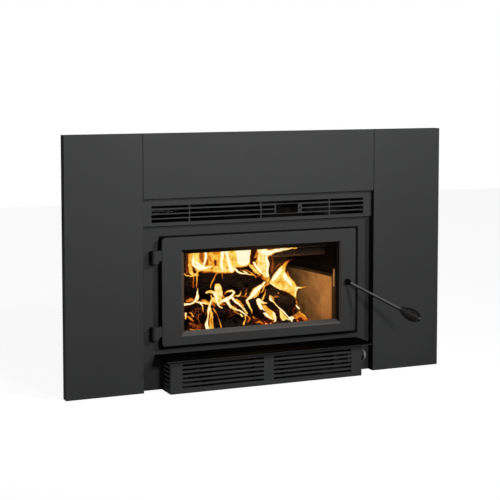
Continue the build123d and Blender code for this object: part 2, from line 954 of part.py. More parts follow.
def glass_clips():
    """The strips that hold the pane in its rebate."""
    clips = []
    for x, z, level in clip_places():
        half_x, half_z = (clip_length / 2, clip_width / 2) if level else (clip_width / 2, clip_length / 2)
        strip = slab(rectangle(x - half_x, x + half_x, z - half_z, z + half_z), door_back_y,
                     door_back_y + clip_thickness)
        sx, sz = clip_screw_place(x, z, level)
        strip -= rod((sx, door_back_y - past, sz), (sx, door_back_y + clip_thickness + past, sz),
                     clip_screw_radius)
        clips.append(strip)
    return group(clips)


def clip_screws():
    """The pan heads of the screws through the glass clips."""
    heads = []
    seat = door_back_y + clip_thickness
    for x, z, level in clip_places():
        sx, sz = clip_screw_place(x, z, level)
        head = rod((sx, seat, sz), (sx, seat + clip_screw_head, sz), 2 * clip_screw_radius)
        heads.append(head + rod((sx, door_back_y, sz), (sx, seat, sz), clip_screw_radius))
    return group(heads)


def door_rope():
    """The rope seal in its groove, which meets the front plate when shut."""
    back = plate_front_y - fit_gap
    y = back - door_rope_radius
    path = (Plane.XZ.offset(-y) * door_rope_profile(0)).wires()[0]
    start = path @ 0
    section = Plane(origin=start, z_dir=path % 0) * Circle(door_rope_radius)
    return sweep(section, path=path)


# ---------------------------------------------------------------- hinges
def knuckle_bottom(lug_bottom):
    """The height of the door's knuckle over its lug."""
    return lug_bottom + hinge_lug_height + hinge_lift


def hinge_lugs():
    """The fixed halves of the hinges, on the front plate."""
    lugs = []
    for bottom in hinge_lug_bottoms:
        top = bottom + hinge_lug_height
        barrel = rod((hinge_x, hinge_y, bottom), (hinge_x, hinge_y, top), hinge_radius)
        web = box(hinge_x - hinge_radius, hinge_x + hinge_radius, hinge_y, plate_front_y, bottom, top)
        lug = barrel + web
        lug = chamfer(lug.edges().group_by(Axis.Z)[0].filter_by(GeomType.CIRCLE), hinge_lug_dome)
        lug -= rod((hinge_x, hinge_y, bottom - past), (hinge_x, hinge_y, top + past), hinge_pin_radius)
        lugs.append(lug)
    return group(lugs)


def hinge_pins():
    """The pins that stand in the lugs."""
    pins = []
    for bottom in hinge_lug_bottoms:
        low = bottom + hinge_pin_recess
        high = knuckle_bottom(bottom) + hinge_knuckle_height - hinge_pin_recess
        pins.append(rod((hinge_x, hinge_y, low), (hinge_x, hinge_y, high), hinge_pin_radius))
    return group(pins)


def hinge_knuckles():
    """The door's halves of the hinges, each with an arm to the frame's edge."""
    knuckles = []
    for bottom in hinge_lug_bottoms:
        z0 = knuckle_bottom(bottom)
        z1 = z0 + hinge_knuckle_height
        barrel = rod((hinge_x, hinge_y, z0), (hinge_x, hinge_y, z1), hinge_radius)
        barrel = chamfer(barrel.edges().group_by(Axis.Z)[-1], hinge_knuckle_chamfer)
        arm_y0 = hinge_y - hinge_arm_thickness / 2
        arm = box(hinge_x, -door_width / 2, arm_y0, arm_y0 + hinge_arm_thickness, z0, z1)
        radius = hinge_pin_radius + hinge_running_clearance
        bore = rod((hinge_x, hinge_y, z0 - past), (hinge_x, hinge_y, z1 + past), radius)
        knuckles.append(barrel + arm - bore)
    return group(knuckles)


# ---------------------------------------------------------------- latch and handle
def latch_bush():
    """The bush in the door that the latch shaft turns in."""
    return pipe((latch_x, door_front_y, latch_z), (latch_x, door_back_y, latch_z),
                bush_radius, shaft_radius + shaft_clearance)


def latch_shaft():
    """The latch shaft, with the boss that shows on the door."""
    end = cam_back_y + retaining_ring_thickness + shaft_tail
    shaft = rod((latch_x, shaft_front_y, latch_z), (latch_x, end, latch_z), shaft_radius)
    boss = rod((latch_x, shaft_front_y, latch_z), (latch_x, door_front_y - fit_gap, latch_z), boss_radius)
    boss = fillet(boss.edges().group_by(Axis.Y)[0], boss_edge)
    return shaft + boss


def latch_cam():
    """The cam behind the door; pointing down, it is clear of the catch."""
    hub = Pos(latch_x, latch_z) * Circle(cam_hub_radius)
    half = cam_arm_width / 2
    arm = rectangle(latch_x - half, latch_x + half, latch_z - cam_reach + half, latch_z)
    tip = Pos(latch_x, latch_z - cam_reach + half) * Circle(half)
    profile = hub + arm + tip - Pos(latch_x, latch_z) * Circle(shaft_radius)
    return slab(profile, cam_y, cam_back_y)


def latch_ring():
    """The ring that keeps the cam on its shaft."""
    y0 = cam_back_y
    return pipe((latch_x, y0, latch_z), (latch_x, y0 + retaining_ring_thickness, latch_z),
                retaining_ring_radius, shaft_radius)


def door_catch():
    """The fixed catch on the firebox wall that the cam turns behind."""
    y1 = cam_y - cam_catch_gap
    y0 = y1 - catch_thickness
    leg = box(catch_leg_x, catch_leg_x + catch_leg_width, y0, y1, catch_bottom, catch_top)
    points = [
        (catch_leg_x, y0), (firebox_half(y0), y0), (firebox_half(y1), y1), (catch_leg_x, y1),
    ]
    return leg + prism(points, catch_top - catch_bar_height, catch_top)


def handle_axis():
    """The handle rod's foot and its unit direction."""
    foot = Vector(latch_x, (shaft_front_y + door_front_y) / 2, latch_z)
    run = Vector(rod_run_x, rod_run_y, rod_run_z)
    return foot, run.normalized(), run.length


def handle_rod():
    """The straight rod from the boss through the grip."""
    foot, way, length = handle_axis()
    bar = rod(foot, foot + way * (length + grip_length), rod_radius)
    bore = boss_radius + fit_gap / 3
    bar -= rod((latch_x, shaft_front_y, latch_z), (latch_x, door_back_y, latch_z), bore)
    return bar


def grip_radius(share):
    """The grip coil's radius at a share of its length: a full, egg-like shape."""
    swell = math.sin(math.pi * share ** grip_peak_power) ** grip_fullness
    return grip_end_radius + (grip_max_radius - grip_end_radius) * swell


def grip_point(turn, turns, foot, way, across, over):
    """A point of the coil after a number of turns."""
    share = min(max(turn / turns, 0.0), 1.0)
    radius = grip_radius(share)
    angle = 2 * math.pi * turn
    middle = foot + way * (share * turns * grip_pitch)
    return middle + across * (radius * math.cos(angle)) + over * (radius * math.sin(angle))


def biarc(start, start_way, end, end_way):
    """Two arcs that leave one point and reach the other along their tangents."""
    run = end - start
    both = start_way + end_way
    spread = 2 * (1 - start_way.dot(end_way))
    along = run.dot(both)
    step = (math.sqrt(along * along + spread * run.dot(run)) - along) / spread
    first = start + start_way * step
    second = end - end_way * step
    middle = (first + second) * 0.5
    way = (second - first).normalized()
    return [
        Edge.make_tangent_arc(start, start_way, middle),
        Edge.make_tangent_arc(middle, way, end),
    ]


def grip_coil():
    """The wire coil of the grip: one round wire wound in a swelling helix."""
    foot, way, length = handle_axis()
    foot = foot + way * length
    across = Vector(0, 0, 1).cross(way).normalized()
    over = way.cross(across)
    turns = round((grip_length - 2 * grip_wire_radius) / grip_pitch)
    quarters = 4 * turns
    small = 0.001
    points = []
    ways = []
    for index in range(quarters + 1):
        turn = index / 4
        before = grip_point(turn - small, turns, foot, way, across, over)
        after = grip_point(turn + small, turns, foot, way, across, over)
        points.append(grip_point(turn, turns, foot, way, across, over))
        ways.append((after - before).normalized())
    lead = 2 * grip_wire_radius
    edges = [Edge.make_line(points[0] - ways[0] * lead, points[0])]
    for index in range(quarters):
        edges += biarc(points[index], ways[index], points[index + 1], ways[index + 1])
    edges.append(Edge.make_line(points[-1], points[-1] + ways[-1] * lead))
    path = Wire(edges)
    section = Plane(origin=path @ 0, z_dir=path % 0) * Circle(grip_wire_radius)
    report_coil_gap(foot, way, across, over, turns)
    return sweep(section, path=path)


def report_coil_gap(foot, way, across, over, turns):
    """Print the least gap between neighbouring turns, measured on points."""
    steps = 48
    line = [grip_point(i / steps, turns, foot, way, across, over) for i in range(turns * steps + 1)]
    least = min(
        (line[i] - line[j]).length
        for i in range(len(line))
        for j in range(i + steps // 2, min(i + 2 * steps, len(line)))
    )
    print("least gap between the grip's turns", round(least - 2 * grip_wire_radius, 2))


# ---------------------------------------------------------------- ash shelf and blower housing
def ash_shelf():
    """The thick shelf under the door."""
    half = shelf_width / 2
    top = shelf_underside + shelf_thickness
    shelf = box(-half, half, shelf_front_y, housing_back_y, shelf_underside, top)
    return chamfer(shelf.edges().filter_by(Axis.X).group_by(Axis.Y)[0], shelf_edge)


def housing_screw_places():
    """The screws through the housing's rear flanges."""
    x = housing_width / 2 - housing_sheet - housing_flange / 2
    return [(side * x, z) for side in (-1, 1) for z in housing_screw_heights]


def blower_housing():
    """The housing's floor, sides and rear flanges."""
    half = housing_width / 2
    sheet = housing_sheet
    front = housing_front_y + sheet
    back = housing_back_y
    shell = box(-half, half, front, back, 0, housing_top)
    shell -= box(-half + sheet, half - sheet, front - past, back - sheet, sheet, housing_top + past)
    opening = half - sheet - housing_flange
    shell -= box(-opening, opening, back - 2 * sheet, back + past, sheet, housing_top + past)
    for row in range(louvre_rows):
        z = louvre_lowest_z + row * louvre_pitch
        shell -= box(-half - past, -half + sheet + past, side_louvre_front_y, side_louvre_back_y,
                     z - louvre_height / 2, z + louvre_height / 2)
    inside, outside = half - sheet - past, half + past
    shell -= rod((inside, speed_y, speed_z), (outside, speed_y, speed_z), speed_hole_radius)
    for x, z in housing_screw_places():
        shell -= screw_hole((x, back, z), (0, 1, 0), screw_hole_length)
    return shell


def case_screws():
    """The grille's two screws into the firebox top and the housing's four into the plate."""
    grille_seat = grille_bottom + grille_sheet
    housing_seat = housing_back_y - housing_sheet
    screws = [
        screw((side * grille_screw_x, grille_screw_y, grille_seat), (0, 0, -1), grille_screw_length)
        for side in (-1, 1)
    ]
    screws += [
        screw((x, housing_seat, z), (0, 1, 0), housing_screw_length) for x, z in housing_screw_places()
    ]
    return group(screws)


def blower_louvre():
    """The slotted front of the blower housing."""
    half = housing_width / 2
    profile = rectangle(-half, half, 0, housing_top)
    for x0, x1 in louvre_fields:
        for row in range(louvre_rows):
            z = louvre_lowest_z + row * louvre_pitch
            profile -= rectangle(x0, x1, z - louvre_height / 2, z + louvre_height / 2)
    return slab(profile, housing_front_y, housing_front_y + housing_sheet)


# ---------------------------------------------------------------- blower
def blower_motor():
    """The motor between the two wheels, bored for its shaft."""
    half = motor_length / 2
    centre = (blower_y, blower_z)
    can = rod((-half, *centre), (half, *centre), motor_radius)
    can = fillet(can.edges().filter_by(GeomType.CIRCLE), motor_edge)
    for side in (-1, 1):
        can += rod((side * half, *centre), (side * (half + motor_nose_length), *centre), motor_nose_radius)
    end = half + motor_nose_length + past
    return can - rod((-end, *centre), (end, *centre), motor_shaft_radius + motor_clearance)


def motor_bracket():
    """The saddle that carries the motor on the housing's floor."""
    half = motor_length / 2 - bracket_inset
    front = blower_y - motor_radius
    back = blower_y + motor_radius
    saddle = box(-half, half, front, back, housing_sheet, blower_z - bracket_rim_drop)
    end = half + past
    saddle -= rod((-end, blower_y, blower_z), (end, blower_y, blower_z), motor_radius + fit_gap)
    return saddle - box(-half + bracket_wall, half - bracket_wall, front - past, back + past,
                        housing_sheet, blower_z - motor_radius - bracket_web)


def wheel_span(side):
    """The near and far ends of one blower wheel."""
    near = motor_length / 2 + wheel_motor_gap
    return side * near, side * (near + wheel_length)


def blower_wheel(side):
    """One squirrel-cage wheel: a hub, a disc and a drum slotted into blades."""
    near, far = wheel_span(side)
    centre = (blower_y, blower_z)
    inner = wheel_radius - blade_width
    disc = near + side * wheel_disc
    wheel = rod((near, *centre), (far, *centre), wheel_radius)
    wheel -= rod((disc, *centre), (far + side * past, *centre), inner)
    wheel += rod((near, *centre), (near + side * wheel_hub_length, *centre), wheel_hub_radius)
    wheel -= rod((near - side * past, *centre), (far, *centre), motor_shaft_radius)
    middle = wheel_radius - blade_width / 2
    gap = 2 * math.pi * middle / blade_count - blade_thickness
    x0, x1 = sorted((disc, far - side * wheel_disc))
    windows = []
    for index in range(blade_count):
        window = box(x0, x1, -gap / 2, gap / 2, inner - past, wheel_radius + past)
        windows.append(Pos(0, *centre) * Rot(index * 360 / blade_count, 0, 0) * window)
    return wheel - windows


def rotor_shaft():
    """The shaft through the motor and both wheels."""
    end = motor_length / 2 + wheel_motor_gap + rotor_shaft_reach
    return rod((-end, blower_y, blower_z), (end, blower_y, blower_z), motor_shaft_radius)


def blower_scroll(side):
    """One scroll round a wheel, open at both ends and to the rear."""
    near, far = wheel_span(side)
    x0, x1 = sorted((near - side * scroll_end_gap, far + side * scroll_end_gap))
    radius = wheel_radius + scroll_clearance
    top = blower_z + radius + scroll_wall
    front = blower_y - radius - scroll_wall
    scroll = box(x0, x1, front, housing_back_y - scroll_back_gap, housing_sheet, top)
    wall = scroll_wall
    scroll -= rod((x0 + wall, blower_y, blower_z), (x1 - wall, blower_y, blower_z), radius)
    scroll -= box(x0 + wall, x1 - wall, blower_y, housing_back_y + past,
                  blower_z + radius - scroll_outlet_height, blower_z + radius)
    scroll -= rod((x0 - past, blower_y, blower_z), (x1 + past, blower_y, blower_z), scroll_inlet_radius)
    return scroll


def speed_control():
    """The fan speed control behind the housing's right side."""
    wall = housing_width / 2 - housing_sheet - fit_gap
    half = speed_box_size / 2
    body = box(wall - speed_box_length, wall, speed_y - half, speed_y + half,
               speed_z - half, speed_z + half)
    bore = speed_shaft_radius + shaft_clearance
    return body - rod((wall - speed_bore_depth, speed_y, speed_z), (wall + past, speed_y, speed_z), bore)


def speed_knob():
    """The fan speed knob and its shaft."""
    side = housing_width / 2
    x0 = side + speed_knob_gap
    x1 = side + speed_knob_length
    knob = rod((x0, speed_y, speed_z), (x1, speed_y, speed_z), speed_knob_radius)
    knob = fillet(knob.edges().group_by(Axis.X)[-1], speed_knob_edge)
    half = pointer_width / 2
    pointer = box(x1 - pointer_depth, x1 + past, speed_y - half, speed_y + half,
                  speed_z + pointer_start, speed_z + speed_knob_radius + past)
    start = side - housing_sheet - speed_bore_depth + fit_gap
    return knob - pointer + rod((start, speed_y, speed_z), (x0, speed_y, speed_z), speed_shaft_radius)


def thermal_switch():
    """The switch under the firebox floor that starts the blower when it is hot."""
    low = firebox_bottom - snap_disc_height
    switch = rod((snap_disc_x, snap_disc_y, low), (snap_disc_x, snap_disc_y, firebox_bottom),
                 snap_disc_radius)
    y0 = snap_disc_y - snap_pin_width / 2
    for side in (-1, 1):
        x0 = snap_disc_x + (side * snap_pin_spacing - snap_pin_thickness) / 2
        switch += box(x0, x0 + snap_pin_thickness, y0, y0 + snap_pin_width, low - snap_pin_length, low)
    return switch


# ---------------------------------------------------------------- fuel
def log_solid(start, end, radius, grow=0.0):
    """A log: a faceted bar with uneven sides, a little thinner at its far end."""
    run = Vector(*end) - Vector(*start)
    way = run.normalized()
    first = Vector(*start) - way * grow
    wires = []
    for place, scale in ((first, 1.0), (first + run + way * 2 * grow, log_taper)):
        plane = Plane(origin=place, z_dir=run)
        points = []
        for index in range(log_facets):
            angle = 2 * math.pi * index / log_facets
            uneven = 1 - log_bark_depth * (1 + math.sin(3 * angle + 1.0))
            reach = radius * scale * uneven + grow
            points.append((reach * math.cos(angle), reach * math.sin(angle)))
        wires.append((plane * make_face(Polyline(*points, close=True))).wires()[0])
    return Solid.make_loft(wires, ruled=True)


def log_places():
    """Each log's ends and radius. The round logs lie on the bed or on each other."""
    bed = hearth_top + log_bed_depth
    base_z = bed + base_log_radius
    base_end_y = base_log_y + rear_logs_skew
    back_z = base_z + base_log_radius + back_log_radius - log_settle
    back_end_y = back_log_y + rear_logs_skew
    front_z = bed + front_log_lift
    front_end_y = front_log_y + front_log_skew
    cross_back = (cross_log_back_x, cross_log_back_y, bed + cross_log_rise)
    cross_front = (cross_log_front_x, cross_log_front_y, bed + cross_log_lift)
    kindling_back = (kindling_back_x, kindling_back_y, bed + kindling_rise)
    kindling_front = (kindling_front_x, kindling_front_y, bed + kindling_lift)
    return [
        ((base_log_left, base_log_y, base_z), (base_log_right, base_end_y, base_z), base_log_radius),
        ((back_log_left, back_log_y, back_z), (back_log_right, back_end_y, back_z), back_log_radius),
        ((front_log_left, front_log_y, front_z), (front_log_right, front_end_y, front_z), front_log_radius),
        (cross_back, cross_front, cross_log_radius),
        (kindling_back, kindling_front, kindling_radius),
    ]


def ember_bed():
    """The bed of embers: a low crowned mound with the logs' beds in it."""
    bottom = hearth_top + fit_gap
    back_half = ember_half_width * ember_back_narrowing
    low = [
        (-ember_half_width, ember_front_y), (ember_half_width, ember_front_y),
        (back_half, ember_back_y), (-back_half, ember_back_y),
    ]
    middle_y = (ember_front_y + ember_back_y) / 2
    high = [(x * ember_crown_width, middle_y + (y - middle_y) * ember_crown_depth) for x, y in low]
    wires = []
    for points, z in ((low, bottom), (high, bottom + ember_height)):
        wires.append((Pos(0, 0, z) * make_face(Polyline(*points, close=True))).wires()[0])
    mound = Solid.make_loft(wires, ruled=True)
    for start, end, radius in log_places():
        mound -= log_solid(start, end, radius, fit_gap)
    return mound


def build_nodes():
    """Every node of the insert, by name."""
    nodes = {
        "surround_panel_left": side_panel(-1),
        "surround_panel_right": side_panel(1),
        "surround_panel_top": top_panel(),
        "surround_screws": surround_screws(),
        "case_screws": case_screws(),
        "casing_base": casing_base(),
        "casing_side_left": casing_side(-1),
        "casing_side_right": casing_side(1),
        "casing_back": casing_back(),
        "casing_top": casing_top(),
        "cord_gland": cord_gland(),
        "front_plate": front_plate(),
        "firebox_floor": firebox_floor(),
        "firebox_roof": firebox_roof(),
        "firebox_sides": firebox_sides(),
        "firebox_back": firebox_back(),
        "side_bricks_left": side_bricks(-1),
        "side_bricks_right": side_bricks(1),
        "back_bricks": back_bricks(),
        "floor_bricks": floor_bricks(),
        "flue_collar": flue_collar(),
        "air_manifold_left": air_manifold(-1),
        "air_manifold_right": air_manifold(1),
        "secondary_air_tubes": group([secondary_tube(y) for y in tube_depths()]),
        "baffle_boards": baffle_boards(),
        "insulation_blanket": insulation_blanket(),
        "support_skids": support_skids(),
        "upper_grille": upper_grille(),
        "air_inlet_box": air_box(),
        "air_slide_plate": air_slide_plate(),
        "air_control_rod": air_control_rod(),
        "door_frame": door_frame(),
        "door_glass": door_glass(),
        "glass_gasket": glass_gasket(),
        "glass_clips": glass_clips(),
        "glass_clip_screws": clip_screws(),
        "door_rope_seal": door_rope(),
        "hinge_lugs": hinge_lugs(),
        "hinge_pins": hinge_pins(),
        "hinge_knuckles": hinge_knuckles(),
        "latch_bush": latch_bush(),
        "latch_shaft": latch_shaft(),
        "latch_cam": latch_cam(),
        "latch_ring": latch_ring(),
        "door_catch": door_catch(),
        "handle_rod": handle_rod(),
        "handle_coil_grip": grip_coil(),
        "ash_shelf": ash_shelf(),
        "blower_housing": blower_housing(),
        "blower_louvre": blower_louvre(),
        "blower_motor": blower_motor(),
        "motor_bracket": motor_bracket(),
        "blower_wheels": group([blower_wheel(-1), blower_wheel(1)]),
        "rotor_shaft": rotor_shaft(),
        "blower_scrolls": group([blower_scroll(-1), blower_scroll(1)]),
        "thermal_switch": thermal_switch(),
        "speed_control": speed_control(),
        "speed_knob": speed_knob(),
        "logs": group([log_solid(*place) for place in log_places()]),
        "ember_bed": ember_bed(),
    }
    return nodes


def main():
    """Write one STEP file for each node."""
    os.makedirs("parts", exist_ok=True)
    for name, solid in build_nodes().items():
        export_step(solid, f"parts/{name}.step")


main()
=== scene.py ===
"""The fireplace insert as it looks: finishes, soft and burning pieces, studio and camera."""

import logging
import math
from collections.abc import Sequence
from dataclasses import dataclass
from enum import Enum

import bmesh
import bpy
import numpy as np
from mathutils import Euler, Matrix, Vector


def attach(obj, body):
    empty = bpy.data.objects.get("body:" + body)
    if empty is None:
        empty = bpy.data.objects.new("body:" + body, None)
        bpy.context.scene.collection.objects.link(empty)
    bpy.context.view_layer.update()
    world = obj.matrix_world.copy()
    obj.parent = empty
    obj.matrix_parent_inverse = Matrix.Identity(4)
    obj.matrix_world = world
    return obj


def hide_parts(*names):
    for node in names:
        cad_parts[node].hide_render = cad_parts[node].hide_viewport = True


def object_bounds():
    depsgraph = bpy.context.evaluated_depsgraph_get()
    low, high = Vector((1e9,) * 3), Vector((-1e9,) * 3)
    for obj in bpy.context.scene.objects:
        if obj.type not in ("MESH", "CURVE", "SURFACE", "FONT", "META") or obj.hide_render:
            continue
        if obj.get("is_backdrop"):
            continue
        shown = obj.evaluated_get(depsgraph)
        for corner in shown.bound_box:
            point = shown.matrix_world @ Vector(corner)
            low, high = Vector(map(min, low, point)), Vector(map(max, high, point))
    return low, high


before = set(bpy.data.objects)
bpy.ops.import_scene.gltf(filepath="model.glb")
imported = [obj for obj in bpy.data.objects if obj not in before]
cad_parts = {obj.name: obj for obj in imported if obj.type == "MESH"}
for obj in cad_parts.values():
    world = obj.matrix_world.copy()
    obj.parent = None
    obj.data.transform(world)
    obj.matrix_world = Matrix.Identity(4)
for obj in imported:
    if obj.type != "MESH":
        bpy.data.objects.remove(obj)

LOG = logging.getLogger("insert")
MM = 0.001
EDGE = 0.0004  # how wide the edge of a painted or burnt zone is, in metres

Color = tuple[float, float, float]
Place = tuple[float, float, float]
Socket = bpy.types.NodeSocket


class Body(Enum):
    """The CAD bodies that new pieces ride on."""

    STOVE = "stove"
    DOOR = "door"
    HANDLE = "handle"


class Slot(Enum):
    """The record's material slots that new pieces take."""

    BLANKET = "blanket"
    ROPE = "rope"
    GASKET = "gasket"
    HANDLE_BLACK = "handle_black"
    BARK = "bark"
    EMBER = "ember"


# -------- shared tools
def shade(color: Color, factor: float) -> Color:
    """Return the colour made lighter or darker by a factor."""
    return tuple(min(channel * factor, 1.0) for channel in color)


def lattice(points: np.ndarray, seed: int) -> np.ndarray:
    """Smooth noise from 0 to 1.

    Each corner of a unit lattice has a random value, and a point takes the blend of its cell's eight
    corners, with eased weights.

    Args:
        points: Places, with x, y and z in the last axis.
        seed: The noise's seed.

    Returns:
        One value for each place.
    """
    cell = np.floor(points).astype(np.int64)
    part = points - cell
    part = part * part * (3 - 2 * part)
    total = np.zeros(points.shape[:-1])
    for corner in np.ndindex(2, 2, 2):
        at = cell + np.array(corner)
        mixed = at[..., 0] * 73856093 ^ at[..., 1] * 19349663 ^ at[..., 2] * 83492791 ^ seed * 26544357
        mixed = (mixed ^ (mixed >> 13)) * 1274126177
        value = ((mixed ^ (mixed >> 16)) & 0xFFFF) / 0xFFFF
        total += value * np.prod(np.where(np.array(corner) == 1, part, 1 - part), axis=-1)
    return total


def cloud(points: np.ndarray, octaves: int, seed: int) -> np.ndarray:
    """Noise from 0 to 1 that sums octaves, each with cells half as large and half the weight.

    Args:
        points: Places, with x, y and z in the last axis, in cells of the first octave.
        octaves: How many octaves are summed.
        seed: The first octave's seed.

    Returns:
        One value for each place.
    """
    parts = [0.5**k * lattice(points * 2.0**k, seed + k) for k in range(octaves)]
    return sum(parts) / sum(0.5**k for k in range(octaves))


def unit(vectors: np.ndarray) -> np.ndarray:
    """Return the vectors at length 1."""
    return vectors / np.linalg.norm(vectors, axis=-1, keepdims=True)


def smooth(value: np.ndarray, low: float, high: float) -> np.ndarray:
    """Return an eased step from 0 at low to 1 at high."""
    share = np.clip((value - low) / (high - low), 0, 1)
    return share * share * (3 - 2 * share)


def tube(
    path: np.ndarray, side: np.ndarray, radius: np.ndarray, around: int, closed: bool = False
) -> np.ndarray:
    """The surface round a path.

    At each step of the path stands a ring, square to it: path + radius * (cos(turn) * side + sin(turn)
    * way x side), with turn from 0 to a full turn. An open tube closes to a point at each end.

    Args:
        path: The middle line's points.
        side: A direction off the path at each point, which needn't be square to it.
        radius: A radius for each point, or for each point and turn.
        around: Faces round the tube.
        closed: Whether the path is a loop, with its first point not repeated.

    Returns:
        A grid of points, one row for each ring.
    """
    if closed:
        way = unit(np.roll(path, -1, 0) - np.roll(path, 1, 0))
    else:
        way = unit(np.gradient(path, axis=0))
    side = unit(side - np.sum(side * way, -1, keepdims=True) * way)
    other = np.cross(way, side)
    turn = np.linspace(0, 2 * math.pi, around + 1)
    arm = np.cos(turn)[:, None] * side[:, None] + np.sin(turn)[:, None] * other[:, None]
    radius = np.broadcast_to(radius, arm.shape[:2]) if radius.ndim == 2 else radius[:, None] + 0 * turn
    rings = path[:, None] + radius[..., None] * arm
    if closed:
        return np.concatenate([rings, rings[:1]])
    first = np.broadcast_to(path[:1, None], rings[:1].shape)
    last = np.broadcast_to(path[-1:, None], rings[:1].shape)
    return np.concatenate([first, rings, last])


@dataclass(frozen=True)
class Piece:
    """What a new piece is called, what carries it and what it stands for.

    Args:
        name: The piece's name.
        body: The body that it rides on.
        slot: The record's slot for it; not used.
        replaces: The CAD nodes that it stands for.
    """

    name: str
    body: Body
    slot: Slot
    replaces: tuple[str, ...] = ()

    def make(self, grid: np.ndarray, finish: bpy.types.Material, **marks: np.ndarray) -> bpy.types.Object:
        """Build the piece from one grid of points, or several.

        Neighbouring rows and columns make four-sided faces. Points that coincide are then welded, which
        closes seams and poles, and the faces are turned outward.

        Args:
            grid: Places in metres by row and column, after a leading axis if there are several grids.
            finish: The piece's material.
            marks: Values by name for each place, which the material reads as attributes.

        Returns:
            The new object.
        """
        grids = grid.reshape((-1,) + grid.shape[-3:])
        count, rows, columns = grids.shape[:3]
        index = np.arange(count * rows * columns).reshape(count, rows, columns)
        corners = (index[:, :-1, :-1], index[:, :-1, 1:], index[:, 1:, 1:], index[:, 1:, :-1])
        quads = np.stack(corners, -1).reshape(-1, 4)
        mesh = bpy.data.meshes.new(self.name)
        mesh.from_pydata(grids.reshape(-1, 3), [], quads)
        along, across = np.meshgrid(np.linspace(0, 1, rows), np.linspace(0, 1, columns), indexing="ij")
        flat = np.tile(np.stack([along, across], -1).reshape(-1, 2), (count, 1))
        mesh.uv_layers.new(name="UVMap").data.foreach_set("uv", flat[quads.ravel()].ravel())
        for name, values in marks.items():
            mark = mesh.attributes.new(name, "FLOAT", "POINT")
            mark.data.foreach_set("value", np.ascontiguousarray(values, dtype=np.float32).ravel())
        work = bmesh.new()
        work.from_mesh(mesh)
        bmesh.ops.remove_doubles(work, verts=work.verts, dist=1e-6)
        bmesh.ops.recalc_face_normals(work, faces=work.faces)
        work.to_mesh(mesh)
        work.free()
        mesh.polygons.foreach_set("use_smooth", np.ones(len(mesh.polygons), dtype=bool))
        mesh.materials.append(finish)
        made = bpy.data.objects.new(self.name, mesh)
        bpy.context.scene.collection.objects.link(made)
        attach(made, self.body.value)
        if self.replaces:
            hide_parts(*self.replaces)
        LOG.info("%s: %d faces on %s", self.name, len(mesh.polygons), self.body.value)
        return made


